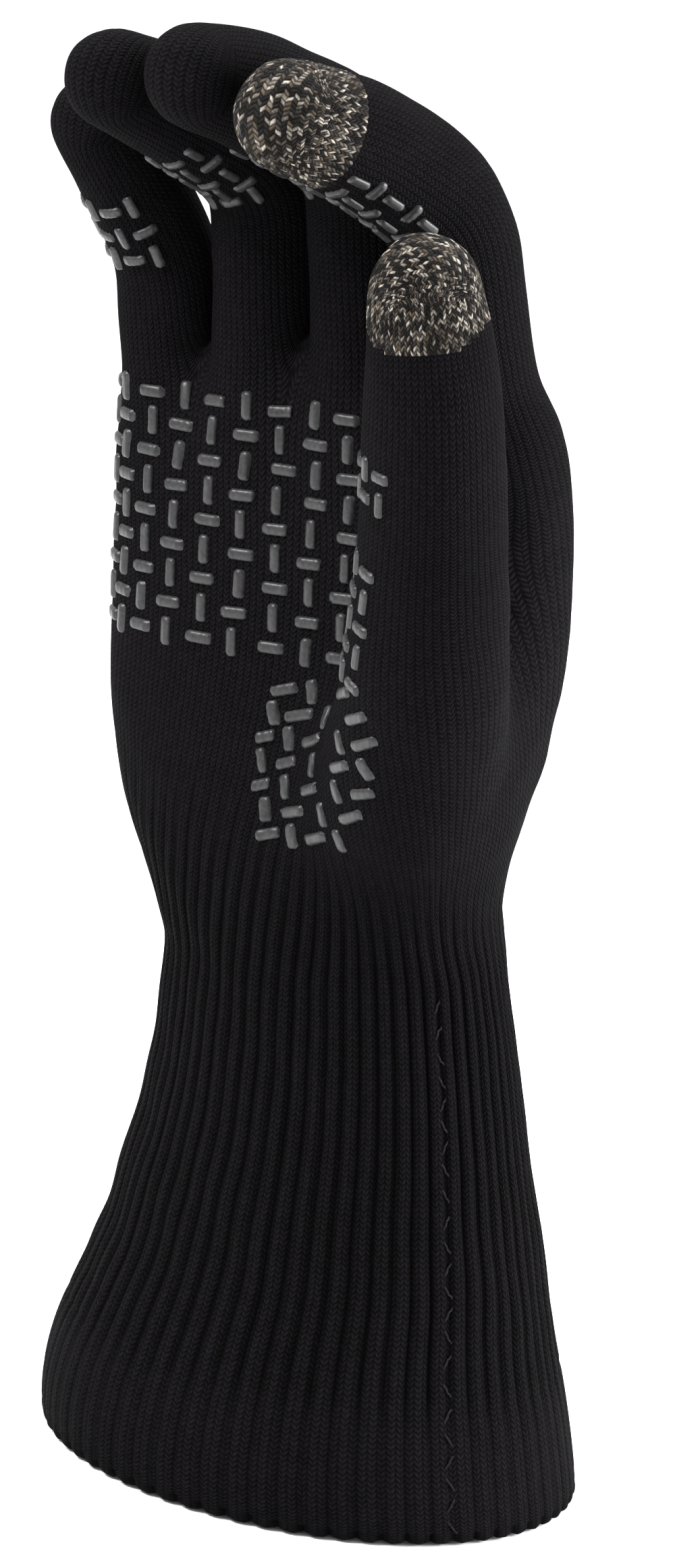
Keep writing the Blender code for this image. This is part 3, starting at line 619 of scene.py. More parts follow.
# knit surface: a groove between wales, ribs in the cuff, the folded hem's edge, and a painted shade for their
# valleys
uu = uv_v[:, 0]
trunk_v = np.zeros(nv, bool)
for pc in ("cuff", "wrist", "hand"):
    trunk_v[np.unique(FQ[FP == PIECES.index(pc)])] = True
side = FV[:, 0] * U[0] + FV[:, 1] * U[1]
rib_top = 143 - 17 * step((side + 25) / 55)
rib_amt = step((rib_top - FV[:, 2]) / 34) * (trunk_v & (uv_v[:, 1] < V_SPLIT - 1))
rib = np.abs(np.sin(pi * uu * 64 / TR)) ** 0.75
welt = step((29.0 - HW) / 11.0) * (uv_v[:, 1] > -1)
rib_amp = (0.80 - 0.48 * welt) * rib_amt
wale = 0.5 - 0.5 * np.cos(2 * pi * uu)
disp = (wale - 1) * (0.15 - 0.06 * rib_amt) + (rib - 1) * rib_amp
disp += -0.16 * np.exp(-((HW - 24.6) / 0.7) ** 2) * (uv_v[:, 1] > 0)
disp += (-0.12 * np.exp(-((HW - 3.4) / 0.5) ** 2)) * (uv_v[:, 1] > 0)
# the hand inside pushes the cloth about a little
wob = (np.sin(FV[:, 0] * 0.23 + FV[:, 2] * 0.11) * np.sin(FV[:, 2] * 0.17 + FV[:, 1] * 0.29 + 1.3)
       + 0.6 * np.sin(FV[:, 2] * 0.41 + FV[:, 0] * 0.37 + 2.1) * np.sin(FV[:, 1] * 0.33))
disp += 0.22 * rib_amt
disp += 0.16 * wob * (uv_v[:, 1] > 30)
# painted shade: the colour is darkened in the rib valleys and in the grooves between wales, kept per vertex and
# multiplied into the knit colour
VALLEY_SHADE = (1 - (1 - rib) * (0.95 - 0.5 * welt) * rib_amt) * (0.55 + 0.45 * wale)
FV = FV + FN * disp[:, None]
WV = world(FV)


def face_normals(X, Q):
    a = X[Q[:, 2]] - X[Q[:, 0]]
    b = X[Q[:, 3]] - X[Q[:, 1]]
    return np.cross(a, b)


def vertex_normals(X, Q):
    n = face_normals(X, Q)
    out = np.zeros_like(X)
    for c in range(4):
        for k in range(3):
            out[:, k] += np.bincount(Q[:, c], n[:, k], len(X))
    return unit(out)


WN = vertex_normals(WV, FQ)

# ------------------------------------------------------------------ materials


def shader(name, build):
    m = bpy.data.materials.new(name)
    m.use_nodes = True
    nt = m.node_tree
    nt.nodes.clear()
    out = nt.nodes.new("ShaderNodeOutputMaterial")
    b = nt.nodes.new("ShaderNodeBsdfPrincipled")
    nt.links.new(b.outputs[0], out.inputs[0])
    build(nt, b)
    return m


class Net:
    """Short names for wiring a node tree."""

    def __init__(self, nt):
        self.nt = nt

    def put(self, sock, v):
        if isinstance(v, (int, float)):
            sock.default_value = v
        elif isinstance(v, (tuple, list)):
            sock.default_value = v
        else:
            self.nt.links.new(v, sock)

    def m(self, op, a, b=0.0, c=0.0, clamp=False):
        n = self.nt.nodes.new("ShaderNodeMath")
        n.operation = op
        n.use_clamp = clamp
        for s, v in zip(n.inputs, (a, b, c)):
            self.put(s, v)
        return n.outputs[0]

    def ramp(self, fac, stops, interp="LINEAR"):
        n = self.nt.nodes.new("ShaderNodeValToRGB")
        n.color_ramp.interpolation = interp
        e = n.color_ramp.elements
        while len(e) < len(stops):
            e.new(0.5)
        for k, (p, c) in enumerate(stops):
            e[k].position = p
            e[k].color = (*c, 1) if isinstance(c, tuple) else (c, c, c, 1)
        self.put(n.inputs[0], fac)
        return n.outputs[0]

    def mix(self, fac, a, b, mode="MIX"):
        n = self.nt.nodes.new("ShaderNodeMix")
        n.data_type = "RGBA"
        n.blend_type = mode
        self.put(n.inputs[0], fac)
        self.put(n.inputs[6], a)
        self.put(n.inputs[7], b)
        return n.outputs[2]

    def noise(self, vec, scale, detail=2.0, rough=0.5, dims="3D"):
        n = self.nt.nodes.new("ShaderNodeTexNoise")
        n.noise_dimensions = dims
        self.put(n.inputs["Scale"], scale)
        self.put(n.inputs["Detail"], detail)
        self.put(n.inputs["Roughness"], rough)
        if vec is not None:
            self.nt.links.new(vec, n.inputs["Vector"])
        return n.outputs[0]

    def cells(self, vec):
        n = self.nt.nodes.new("ShaderNodeTexWhiteNoise")
        n.noise_dimensions = "3D"
        self.nt.links.new(vec, n.inputs["Vector"])
        return n

    def bump(self, h, dist, strength=1.0):
        n = self.nt.nodes.new("ShaderNodeBump")
        self.put(n.inputs["Height"], h)
        n.inputs["Distance"].default_value = dist
        n.inputs["Strength"].default_value = strength
        return n.outputs[0]

    def xyz(self, x, y, z=0.0):
        n = self.nt.nodes.new("ShaderNodeCombineXYZ")
        for s, v in zip(n.inputs, (x, y, z)):
            self.put(s, v)
        return n.outputs[0]


def stitches(N):
    """V-shaped knit stitches from the wale and course counts. Returns height, leg cell x, leg cell y, object coordinates."""
    uvn = N.nt.nodes.new("ShaderNodeUVMap")
    uvn.uv_map = "knit"
    sp = N.nt.nodes.new("ShaderNodeSeparateXYZ")
    N.nt.links.new(uvn.outputs[0], sp.inputs[0])
    tc = N.nt.nodes.new("ShaderNodeTexCoord")
    obj = tc.outputs["Object"]
    wob1 = N.m("MULTIPLY", N.m("SUBTRACT", N.noise(obj, 900.0, 1.0), 0.5), 0.30)
    u, v = N.m("ADD", sp.outputs[0], wob1), sp.outputs[1]
    fu = N.m("FRACT", u)
    a = N.m("ABSOLUTE", N.m("SUBTRACT", fu, 0.5))                 # 0 centre of the wale, 0.5 at its edge
    ph = N.m("SUBTRACT", v, N.m("MULTIPLY", a, 1.5))
    across = N.m("SUBTRACT", 1.0, N.m("POWER", N.m("ABSOLUTE", N.m("SUBTRACT", N.m("MULTIPLY", a, 4.0), 1.0)), 2.2))
    along = N.m("ADD", 0.5, N.m("MULTIPLY", N.m("COSINE", N.m("MULTIPLY", ph, 2 * pi)), 0.5))
    h = N.m("MULTIPLY", N.m("POWER", along, 0.75), N.m("ADD", 0.25, N.m("MULTIPLY", across, 0.75)))
    fibre = N.noise(obj, 5200.0, 2.0)
    h = N.m("ADD", N.m("MULTIPLY", h, 0.85), N.m("MULTIPLY", fibre, 0.22))
    cx = N.m("FLOOR", N.m("MULTIPLY", u, 2.0))
    cy = N.m("FLOOR", N.m("ADD", ph, 0.5))
    return h, cx, cy, obj


def knit_mat(name, dark, light, bump=0.00022, lint=0.9965):
    def build(nt, b):
        N = Net(nt)
        h, cx, cy, obj = stitches(N)
        rnd = N.cells(N.xyz(cx, cy)).outputs[0]
        big = N.noise(obj, 26.0, 3.0)
        # painted shade between the loops: the stitch gaps get the dark end of the ramp and the loop tops the light
        # end, by stitch height h; mixed with random per-stitch and broad tone variation
        stitch_shade_and_tone = N.m("ADD", N.m("MULTIPLY", h, 0.75), N.m("MULTIPLY", rnd, 0.18), clamp=True)
        stitch_shade_and_tone = N.m("ADD", N.m("MULTIPLY", stitch_shade_and_tone, 0.85), N.m("MULTIPLY", big, 0.22), clamp=True)
        col = N.ramp(stitch_shade_and_tone, [(0.12, dark), (0.95, light)])
        # painted shade: the colour is multiplied down where the per-vertex valley attribute is low (rib valleys,
        # wale grooves)
        at = nt.nodes.new("ShaderNodeAttribute")
        at.attribute_name = "painted_valley_shade"
        col = N.mix(1.0, col, N.ramp(at.outputs["Fac"], [(0.05, 0.10), (0.95, 1.0)]), "MULTIPLY")
        # specks of pale lint caught in the knit
        vo = nt.nodes.new("ShaderNodeTexVoronoi")
        vo.inputs["Scale"].default_value = 210.0
        nt.links.new(obj, vo.inputs["Vector"])
        sp = nt.nodes.new("ShaderNodeSeparateColor")
        nt.links.new(vo.outputs["Color"], sp.inputs[0])
        rare = N.m("GREATER_THAN", sp.outputs[0], lint)
        near = N.m("LESS_THAN", vo.outputs["Distance"], 0.055)
        col = N.mix(N.m("MULTIPLY", rare, near), col, (0.45, 0.43, 0.40, 1))
        nt.links.new(col, b.inputs["Base Color"])
        nt.links.new(N.bump(h, bump), b.inputs["Normal"])
        b.inputs["Roughness"].default_value = 0.8
        b.inputs["Specular IOR Level"].default_value = 0.02
    return shader(name, build)


def heather(nt, b):
    N = Net(nt)
    h, cx, cy, obj = stitches(N)
    wn = N.cells(N.xyz(cx, cy, 3.0))
    wn2 = N.cells(N.xyz(cx, cy, 9.0))
    strand = N.noise(obj, 3000.0, 2.0, 0.6)
    f = N.m("ADD", N.m("MULTIPLY", wn.outputs[0], 0.72), N.m("MULTIPLY", strand, 0.36), clamp=True)
    col = N.ramp(f, [(0.10, (0.002, 0.0018, 0.0018)), (0.46, (0.010, 0.009, 0.008)), (0.64, (0.036, 0.031, 0.027)),
                     (0.80, (0.14, 0.122, 0.102)), (0.97, (0.50, 0.455, 0.40))])
    col = N.mix(N.m("MULTIPLY", N.m("GREATER_THAN", wn2.outputs[0], 0.88), 0.7), col, (0.075, 0.056, 0.038, 1))
    shade = N.ramp(h, [(0.1, 0.12), (0.7, 1.0)])
    col = N.mix(1.0, col, shade, "MULTIPLY")
    nt.links.new(col, b.inputs["Base Color"])
    nt.links.new(N.bump(h, 0.00028), b.inputs["Normal"])
    b.inputs["Roughness"].default_value = 0.75
    b.inputs["Specular IOR Level"].default_value = 0.06


def rubber(nt, b):
    N = Net(nt)
    tc = nt.nodes.new("ShaderNodeTexCoord")
    n = N.noise(tc.outputs["Object"], 1500.0, 3.0)
    col = N.ramp(n, [(0.3, (0.010, 0.010, 0.0105)), (0.75, (0.028, 0.028, 0.029))])
    nt.links.new(col, b.inputs["Base Color"])
    nt.links.new(N.bump(N.noise(tc.outputs["Object"], 700.0, 2.0), 0.00007), b.inputs["Normal"])
    b.inputs["Roughness"].default_value = 0.38
    b.inputs["Specular IOR Level"].default_value = 0.30


def fleece(nt, b):
    N = Net(nt)
    tc = nt.nodes.new("ShaderNodeTexCoord")
    n = N.noise(tc.outputs["Object"], 1400.0, 5.0, 0.7)
    col = N.ramp(n, [(0.3, (0.006, 0.006, 0.0065)), (0.75, (0.022, 0.021, 0.022))])
    nt.links.new(col, b.inputs["Base Color"])
    nt.links.new(N.bump(n, 0.0006), b.inputs["Normal"])
    b.inputs["Roughness"].default_value = 0.95
    b.inputs["Specular IOR Level"].default_value = 0.1


def cotton(nt, b):
    N = Net(nt)
    tc = nt.nodes.new("ShaderNodeTexCoord")
    n = N.noise(tc.outputs["Object"], 2600.0, 3.0)
    col = N.ramp(n, [(0.3, (0.004, 0.0037, 0.004)), (0.75, (0.017, 0.0155, 0.0165))])
    nt.links.new(col, b.inputs["Base Color"])
    nt.links.new(N.bump(n, 0.0002), b.inputs["Normal"])
    b.inputs["Roughness"].default_value = 0.75
    b.inputs["Specular IOR Level"].default_value = 0.03


# knit ramp ends: DARK is the painted shade in the stitch gaps, LIGHT the loop tops
DARK, LIGHT = (0.0002, 0.0002, 0.0002), (0.0088, 0.0077, 0.0090)
MAT = {"knit": knit_mat("black_knit", DARK, LIGHT), "cuff": knit_mat("black_rib_knit", DARK, LIGHT),
       "touch": shader("heather_touch_knit", heather), "grip": shader("grip_rubber", rubber),
       "lining": shader("fleece_lining", fleece), "thread": shader("seam_thread", cotton)}

# ------------------------------------------------------------------ pieces
SETS = {n: np.unique(FQ[FP == k]) for k, n in enumerate(PIECES)}


def shared(a, b):
    return np.intersect1d(SETS[a], SETS[b])


def collection(o):
    bpy.context.scene.collection.objects.link(o)
    return o


def piece(name, X, N, Q, uv, mat, flip=False, painted_shade=None):
    used = np.unique(Q)
    back = np.zeros(len(X), dtype=np.int64)
    back[used] = np.arange(len(used))
    q = back[Q]
    if flip:
        q, uv = q[:, ::-1], (uv[:, ::-1] if uv is not None else None)
    me = bpy.data.meshes.new(name)
    me.vertices.add(len(used))
    me.vertices.foreach_set("co", X[used].astype(np.float32).ravel())
    me.loops.add(q.size)
    me.loops.foreach_set("vertex_index", q.astype(np.int32).ravel())
    me.polygons.add(len(q))
    me.polygons.foreach_set("loop_start", np.arange(0, q.size, 4, dtype=np.int32))
    me.update(calc_edges=True)
    me.polygons.foreach_set("use_smooth", np.ones(len(q), dtype=bool))
    if uv is not None:
        me.uv_layers.new(name="knit").data.foreach_set("uv", uv.astype(np.float32).ravel())
    me.materials.append(mat)
    me.update()
    # per-vertex painted shade for the rib valleys and wale grooves
    if painted_shade is not None:
        at = me.attributes.new("painted_valley_shade", "FLOAT", "POINT")
        at.data.foreach_set("value", painted_shade[used].astype(np.float32))
    me.normals_split_custom_set_from_vertices((N[used] * (-1 if flip else 1)).astype(np.float32).tolist())
    o = bpy.data.objects.new(name, me)
    return collection(o)


def span(zone, low, high, pad=0.0):
    """Blend line of a zone in the row frame, so that both edge rings keep their own body whole."""
    a = WV[shared(zone, low)]
    b = WV[shared(zone, high)]
    ca, cb = a.mean(0), b.mean(0)
    d = unit(cb - ca)
    lo, hi = ((a - ca) @ d).max(), ((b - ca) @ d).min()
    if zone == "thumb_a":
        # the lower ring slants along the web, so look for the direction with the longest run between the rings
        x = unit(np.cross(d, (0.3, 0.5, 0.1)))
        y = np.cross(d, x)
        for p_ in np.linspace(-1.2, 1.2, 25):
            for q_ in np.linspace(-1.2, 1.2, 25):
                e = unit(unit(cb - ca) + x * p_ + y * q_)
                l2, h2 = ((a - ca) @ e).max(), ((b - ca) @ e).min()
                if h2 - l2 > hi - lo:
                    d, lo, hi = e, l2, h2
        print("thumb swing run", round((hi - lo) * 1000, 1), "mm along", d.round(2))
    assert hi > lo + 0.002, (zone, lo, hi)
    return ca + d * (lo + 1e-5), ca + d * (hi - 1e-5)


def tip_span(zone, low, sp, s_joint, reach):
    a = WV[shared(zone, low)]
    ca = a.mean(0)
    j = world(sp.lerp(sp.p, s_joint))
    d = unit(world(sp.lerp(sp.p, s_joint + 5)) - world(sp.lerp(sp.p, s_joint - 5)))
    lo = ((a - ca) @ d).max()
    jj = (j - ca) @ d
    r = min(reach * 0.001, jj - lo)
    return ca + d * max(lo + 1e-5, jj - r), ca + d * (jj + r)


ZONE = {"wrist": ("cuff", "hand", *[np.array(p) for p in (lambda a, b: (
    (0, 0, WV[a][:, 2].max() + 1e-5), (0, 0, WV[b][:, 2].min() - 1e-5)))(shared("wrist", "cuff"), shared("wrist", "hand"))])}
for n in FING:
    sp = DIG[n]
    ZONE[n + "_a"] = ("hand", n + "_base", *span(n + "_a", "hand", n + "_b"))
    ZONE[n + "_b"] = (n + "_base", n + "_middle", *span(n + "_b", n + "_a", n + "_c"))
    ZONE[n + "_c"] = (n + "_middle", n + "_tip", *tip_span(n + "_c", n + "_b", sp, sp.js[2], 7.0))
ZONE["thumb_a"] = ("hand", "thumb_root", *span("thumb_a", "hand", "thumb_b"))
ZONE["thumb_b"] = ("thumb_root", "thumb_middle", *span("thumb_b", "thumb_a", "thumb_c"))
ZONE["thumb_c"] = ("thumb_middle", "thumb_tip", *tip_span("thumb_c", "thumb_b", THUMB, thumb_s(217.5), 7.5))


def place(o, zone, slot_name, *nodes):
    if zone in ("cuff", "hand"):
        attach(o, zone)
    else:
        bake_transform(o)
    nodes = [n for n in nodes if n in frame["nodes"]]
    if nodes:
        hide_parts(*nodes)
    return o


FC = FV[FQ].mean(1)                                 # face centres, hand frame
FVC = FUV[:, :, 1].mean(1)
FHW = world(FC)[:, 2] * 1000


def cut(name, mask, zone, mat, *nodes):
    if mask.any():
        o = piece(name, WV, WN, FQ[mask], FUV[mask], MAT[mat], painted_shade=VALLEY_SHADE)
        return place(o, zone, mat, *nodes)


def is_piece(n):
    return FP == PIECES.index(n)


in_cuff = is_piece("cuff")
w_edge = in_cuff & (FHW < 24.6) | (in_cuff & (FVC < 0))
cut("cuff_welt_skin", w_edge, "cuff", "cuff", "cuff_welt")
cut("cuff_rib_skin", in_cuff & ~w_edge, "cuff", "cuff", "cuff_rib")
cut("wrist_skin", is_piece("wrist"), "wrist", "cuff")
cut("hand_skin", is_piece("hand"), "hand", "knit", "palm_knit")
for n in FING:
    cut(n + "_base_skin", is_piece(n + "_a"), n + "_a", "knit", n + "_base_knit")
    cut(n + "_middle_skin", is_piece(n + "_b"), n + "_b", "knit", n + "_middle_knit")
    m_ = is_piece(n + "_c")
    if n == "index":
        sp = DIG[n]
        # the touch tip starts just past the last joint
        j = sp.js[2] + 6.0
        d = sp.lerp(sp.t, j)
        past = (FC - sp.lerp(sp.p, j)) @ d > 0
        cut("index_touch_skin", m_ & past, n + "_c", "touch", "index_touch_cap")
        cut("index_tip_skin", m_ & ~past, n + "_c", "knit", "index_tip_knit")
    else:
        cut(n + "_tip_skin", m_, n + "_c", "knit", n + "_tip_knit")
cut("thumb_root_skin", is_piece("thumb_a"), "thumb_a", "knit", "thumb_root_knit")
cut("thumb_middle_skin", is_piece("thumb_b"), "thumb_b", "knit", "thumb_middle_knit")
m_ = is_piece("thumb_c")
# the thumb's touch tip reaches lower on the pad than at its sides
padness = np.clip(((FC - THUMB.lerp(THUMB.p, THUMB.s[-1])) @ unit(np.array([0.45, -0.89, 0.0]))) / 11.0, 0, 1)
past = FC[:, 2] > 230.6 - 4.6 * step(padness)
cut("thumb_touch_skin", m_ & past, "thumb_c", "touch", "thumb_touch_cap")
cut("thumb_tip_skin", m_ & ~past, "thumb_c", "knit", "thumb_tip_knit")

# ------------------------------------------------------------------ lining, inside the skins
CFACE = F
Q1 = FQ                                            # same layout as the skins, at half the resolution
lin_me = bpy.data.meshes.new("lin")
lin_me.from_pydata([tuple(v) for v in V], [], [tuple(int(i) for i in f) for f in F])
lin_me.uv_layers.new(name="knit").data.foreach_set("uv", np.array(fuv, dtype=np.float32).reshape(-1))
for _ in PIECES:
    lin_me.materials.append(None)
lin_me.polygons.foreach_set("material_index", np.array(fpiece, dtype=np.int32))
lin_ob = collection(bpy.data.objects.new("lin", lin_me))
mod = lin_ob.modifiers.new("s", "SUBSURF")
mod.levels = mod.render_levels = 1
mod.uv_smooth = "NONE"
lm = bpy.data.meshes.new_from_object(lin_ob.evaluated_get(bpy.context.evaluated_depsgraph_get()))
bpy.data.objects.remove(lin_ob, do_unlink=True)
ln, lf = len(lm.vertices), len(lm.polygons)
LV = np.empty(ln * 3, dtype=np.float32); lm.vertices.foreach_get("co", LV); LV = LV.reshape(-1, 3).astype(float)
LN = np.empty(ln * 3, dtype=np.float32); lm.vertices.foreach_get("normal", LN); LN = LN.reshape(-1, 3).astype(float)
LQ = np.empty(lf * 4, dtype=np.int32); lm.loops.foreach_get("vertex_index", LQ); LQ = LQ.reshape(-1, 4)
LUV = np.empty(lf * 8, dtype=np.float32); lm.uv_layers[0].data.foreach_get("uv", LUV); LUV = LUV.reshape(-1, 4, 2)
LP = np.empty(lf, dtype=np.int32); lm.polygons.foreach_get("material_index", LP)
LV = LV - LN * 2.0
LW = world(LV)
LWN = vertex_normals(LW, LQ)
LIN_NODES = {"cuff": ["cuff_lining"], "wrist": [], "hand": ["palm_lining"], "thumb_a": ["thumb_root_lining"],
             "thumb_b": ["thumb_middle_lining"], "thumb_c": ["thumb_tip_lining"]}
for n in FING:
    LIN_NODES[n + "_a"] = [n + "_base_lining"]
    LIN_NODES[n + "_b"] = [n + "_middle_lining"]
    LIN_NODES[n + "_c"] = [n + "_tip_lining"]
hem_v = LUV[:, :, 1].mean(1)
for k, pc in enumerate(PIECES):
    mask = (LP == k) & (hem_v > 4)
    o = piece("lining_" + pc, LW, LWN, LQ[mask], LUV[mask], MAT["lining"], flip=True)
    place(o, pc, "lining", *LIN_NODES[pc])

# ------------------------------------------------------------------ printed rubber bars
from mathutils.bvhtree import BVHTree
BVH = BVHTree.FromPolygons([tuple(p) for p in FV], [tuple(int(i) for i in q) for q in FQ])


def on_skin(p):
    loc, nor, fi, d = BVH.find_nearest(Vector(tuple(float(x) for x in p)))
    return np.array(loc), np.array(nor), fi


class Bars:
    """Rounded bars printed on the skin, each following its curve."""

    def __init__(self):
        self.v, self.f = [], []

    def add(self, c, along, length=5.4, width=2.25, high=0.85):
        c, n, fi = on_skin(c)
        n = unit(n)
        t = unit(along - n * (along @ n))
        b = np.cross(n, t)
        base = len(self.v)
        NA, NB = 15, 9
        mean = np.zeros(3)
        for i in range(NA):
            for j in range(NB):
                a_ = (i / (NA - 1) * 2 - 1)
                b_ = (j / (NB - 1) * 2 - 1)
                a_ = a_ * (1.5 - 0.5 * abs(a_)) if abs(a_) < 1 else a_
                b_ = b_ * (1.5 - 0.5 * abs(b_)) if abs(b_) < 1 else b_
                # squircle plan with round ends
                x, y = a_ * length / 2, b_ * width / 2
                end = max(0.0, abs(x) - (length / 2 - width * 0.36)) / (width * 0.36)
                y *= sqrt(max(0.0, 1 - 0.55 * min(end, 1) ** 2.4))
                e = max((abs(x) / (length / 2)) ** 7, 0.0) + (abs(b_)) ** 3.2
                h = high * max(0.0, 1 - min(1.0, e)) ** 0.5
                p, pn, _ = on_skin(c + t * x + b * y)
                self.v.append(p + n * (h - 0.16))
        for i in range(NA - 1):
            for j in range(NB - 1):
                q = base + i * NB + j
                self.f.append((q, q + NB, q + NB + 1, q + 1))

    def build(self, name, zone, *nodes):
        me = bpy.data.meshes.new(name)
        me.from_pydata([tuple(p) for p in world(np.array(self.v))], [], self.f)
        for p in me.polygons:
            p.use_smooth = True
        me.materials.append(MAT["grip"])
        return place(collection(bpy.data.objects.new(name, me)), zone, "grip", *nodes)


UPV = np.array([0.0, 0.0, 1.0])
palm = Bars()
for i in range(10):
    for j in range(9):
        ang = radians(206 + (297 - 206) * (i + 0.5) / 10)
        z = 157.5 + (206.5 - 157.5) * (j + 0.5) / 9
        c = hand_at(z, ang)
        if c[0] > 24 and z < 166:
            continue
        palm.add(c, UPV if (i + j) % 2 else np.cross(UPV, on_skin(c)[1]), length=5.6, width=2.4)
palm.build("palm_bars", "hand", "palm_grip")

thenar = Bars()
TH = THUMB
# heel of the thumb: a tapering basket patch pressed on from the front of the palm
FACE = unit(np.array([0.67, -0.70, 0.26]) @ LEAN)
ACROSS = unit(np.cross(UPV @ LEAN, FACE))
RISE = np.cross(FACE, ACROSS)
HEEL = np.array([16.0, -33.0, 140.0]) @ LEAN + HEM
SLANT = radians(16)
for j in range(7):
    v = (j + 0.5) / 7
    left, right = -12.7 + 14.0 * (v - 0.5) ** 2, 10.0 - 22.0 * (v - 0.45) ** 2
    n_across = int(round((right - left) / 4.7))
    for i in range(n_across):
        c = HEEL + ACROSS * (left + (right - left) * (i + 0.5) / n_across) + RISE * (-12.5 + 31.0 * v)
        hit = BVH.ray_cast(Vector(tuple(float(x) for x in c + FACE * 80)), Vector(tuple(float(x) for x in -FACE)))
        along = RISE * cos(SLANT) - ACROSS * sin(SLANT)
        cc, nn, _ = on_skin(np.array(hit[0]))
        # the knit is stretched where it turns away from the front, and the bars with it
        steep = max(0.62, float(unit(nn) @ FACE))
        if (i + j) % 2:
            thenar.add(cc, along, length=4.9, width=2.1 / max(0.8, steep))
        else:
            thenar.add(cc, np.cross(along, nn), length=4.4 / steep, width=2.3)
# and a narrow band up the side of the thumb
for j in range(6, 11):
    z = 132.5 + 5.3 * j
    s = thumb_s(z)
    r_ = float(TH.lerp(TH.w, np.array([s]))[0])
    for i in range(4):
        # even spacing along the skin, starting at the palm's edge of the patch
        dg = -62 - (5.4 * i) / r_ * 57.3
        c = TH.at(np.array([s]), np.array([radians(dg)]))[0]
        t = unit(TH.lerp(TH.t, s))
        cc, nn, _ = on_skin(c)
        thenar.add(c, t if (i + j) % 2 else np.cross(t, nn), length=5.0, width=2.3)
thenar.build("thumb_base_bars", "hand", "thenar_grip", "thumb_side_grip")
tm = Bars()
for j, z in enumerate((199.6, 204.8)):
    for i, dg in enumerate((-116, -94, -72, -50)):
        s = thumb_s(z)
        c = TH.at(np.array([s]), np.array([radians(dg)]))[0]
        tm.add(c, unit(TH.lerp(TH.t, s)) if (i + j) % 2 else np.cross(TH.lerp(TH.t, s), on_skin(c)[1]), length=4.9)
tm.build("thumb_middle_bars", "thumb_b", "thumb_middle_grip")

for n, rows in (("little", 3), ("ring", 5), ("middle", 5), ("index", 5)):
    sp = DIG[n]
    j1, j2 = sp.js[1], sp.js[2]
    lo, hi = Bars(), Bars()
    a0, a1 = {"little": (j1 + 1.0, j2 + 0.5), "index": (j1 + 6.5, j2 + 4.5)}.get(n, (j1 + 1.5, j2 - 2.0))
    for j in range(rows):
        s = a0 + (a1 - a0) * (j + 0.5) / rows
        for i in range(4):
            ang = radians(-148 + 116 * (i + 0.5) / 4)
            c = sp.at(np.array([s]), np.array([ang]))[0]
            t = unit(sp.lerp(sp.t, s))
            which = lo if s < CUTS[n][1] else hi
            which.add(c, t if (i + j) % 2 else np.cross(t, on_skin(c)[1]), length=5.0, width=2.1)
    if lo.v:
        lo.build(n + "_bars", n + "_b", n + "_grip")
    if hi.v:
        hi.build(n + "_end_bars", n + "_c", *([] if lo.v else [n + "_grip"]))

# ------------------------------------------------------------------ the cuff's side seam
seam_v, seam_f = [], []


def thread(path, r=0.22, sides=6):
    path = np.array(path)
    t = unit(np.gradient(path, axis=0))
    base = len(seam_v)
    ref = np.array([0.31, 0.2, 0.93])
    for p, d in zip(path, t):
        x = unit(np.cross(d, ref))
        y = np.cross(d, x)
        for k in range(sides):
            w = 2 * pi * k / sides
            seam_v.append(p + (x * cos(w) + y * sin(w)) * r)
    for i in range(len(path) - 1):
        for k in range(sides):
            a, b = base + i * sides + k, base + i * sides + (k + 1) % sides
            seam_f.append((a, b, b + sides, a + sides))
    seam_f.append(tuple(base + k for k in reversed(range(sides))))
    seam_f.append(tuple(base + (len(path) - 1) * sides + k for k in range(sides)))


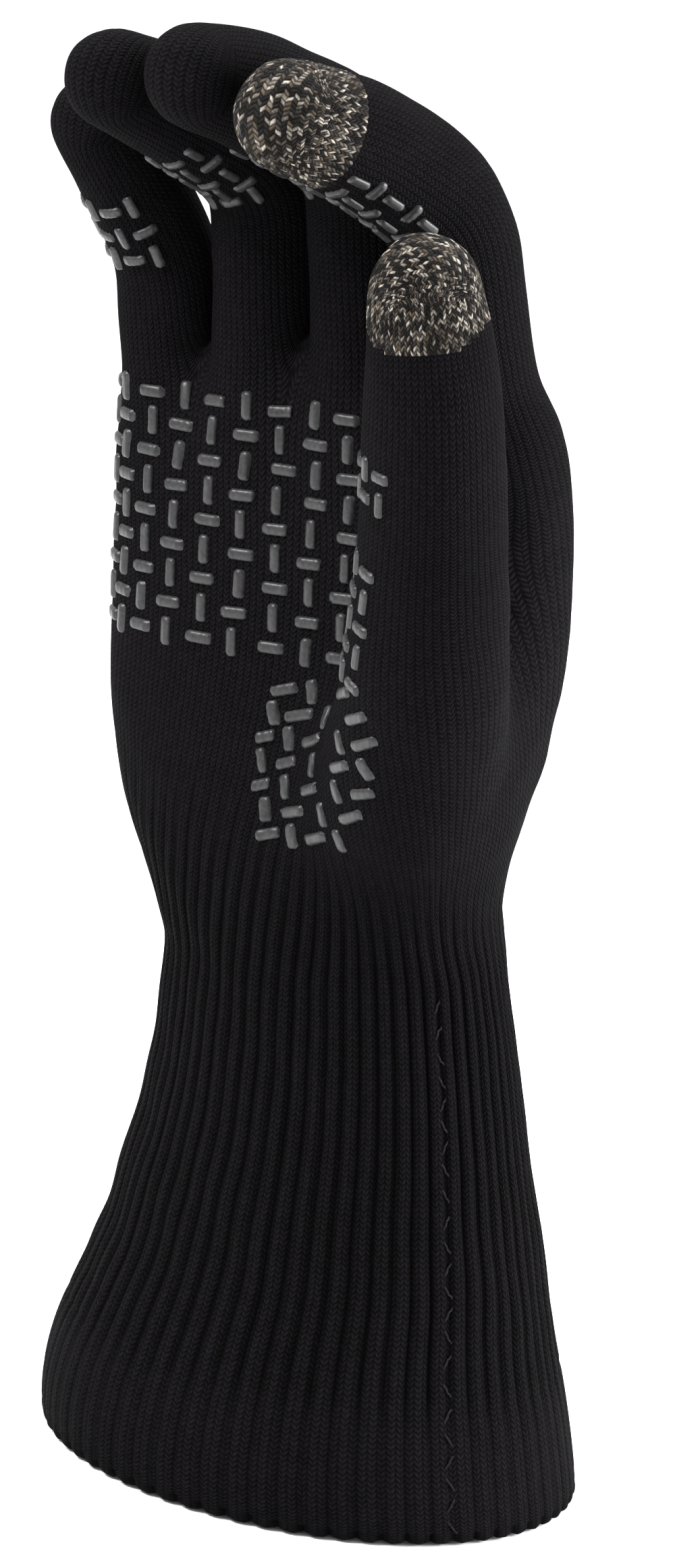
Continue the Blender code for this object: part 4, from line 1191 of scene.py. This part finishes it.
h = 2.2
flip_ = 1
while h < 98:
    pts = []
    for q in np.linspace(0, 1, 7):
        hh = h + 2.3 * q
        w = flip_ * (0.8 - 1.6 * q)
        g = cuff_at(np.array([hh]), np.array([radians(-25) + w / 42.0]))[0]
        p, nn, _ = on_skin(g)
        pts.append(p + unit(nn) * (0.35 * sin(pi * q) - 0.1))
    thread(pts)
    h += 4.4 + 0.5 * sin(h * 1.7)
    flip_ = -flip_ if int(h * 3) % 4 else flip_
me = bpy.data.meshes.new("side_seam")
me.from_pydata([tuple(p) for p in world(np.array(seam_v))], [], seam_f)
for p in me.polygons:
    p.use_smooth = True
me.materials.append(MAT["thread"])
place(collection(bpy.data.objects.new("side_seam_stitches", me)), "cuff", "thread", "cuff_side_seam")

# ------------------------------------------------------------------ floor, light, camera
fm_ = bpy.data.meshes.new("floor")
fm_.from_pydata([(-3, -3, -0.0004), (3, -3, -0.0004), (3, 3, -0.0004), (-3, 3, -0.0004)], [], [(0, 1, 2, 3)])
floor = collection(bpy.data.objects.new("floor", fm_))


def paper(nt, b):
    b.inputs["Base Color"].default_value = (0.93, 0.93, 0.93, 1)
    b.inputs["Roughness"].default_value = 0.9


fm_.materials.append(shader("floor_paper", paper))
wd = bpy.data.worlds.new("studio")
bpy.context.scene.world = wd
wd.use_nodes = True
bg = wd.node_tree.nodes["Background"]
bg.inputs[0].default_value = (1.0, 1.0, 1.0, 1)
bg.inputs[1].default_value = 1.0
bpy.context.scene.view_settings.view_transform = "Standard"


def area(name, pos, target, size, power):
    L = bpy.data.lights.new(name, "AREA")
    L.shape = "DISK"
    L.size = size
    L.energy = power
    o = collection(bpy.data.objects.new(name, L))
    o.location = pos
    o.rotation_euler = (Vector(target) - Vector(pos)).to_track_quat("-Z", "Y").to_euler()
    return o


ca_, ce_ = radians(44), radians(15)
right = Vector((cos(ca_), sin(ca_), 0))
back = Vector((sin(ca_) * cos(ce_), -cos(ca_) * cos(ce_), sin(ce_)))
up = back.cross(right)
mid = Vector((0, 0, 0.14))
area("key", mid + right * -0.75 + back * 0.55 + up * 0.75, mid, 0.55, 26.0)
area("fill", mid + right * 0.9 + back * 0.10 + up * 0.2, mid, 0.5, 22.0)
area("top", mid + back * -0.25 + up * 1.0, mid, 0.5, 12.0)
cam = bpy.data.cameras.new("camera")
cam.sensor_width = 36
cam.lens = 12000 * 36 / 2323
cam.clip_start = 0.05
co = collection(bpy.data.objects.new("camera", cam))
aim = Vector((0, 0, 140)) + right * (5 / 8) - up * (71.5 / 8)
R = Matrix((right, up, back)).transposed()
co.matrix_world = Matrix.Translation(Vector(world(np.array(aim + back * 1500)).tolist())) @ (
    Matrix(LEAN.tolist()) @ R).to_4x4()
bpy.context.scene.camera = co
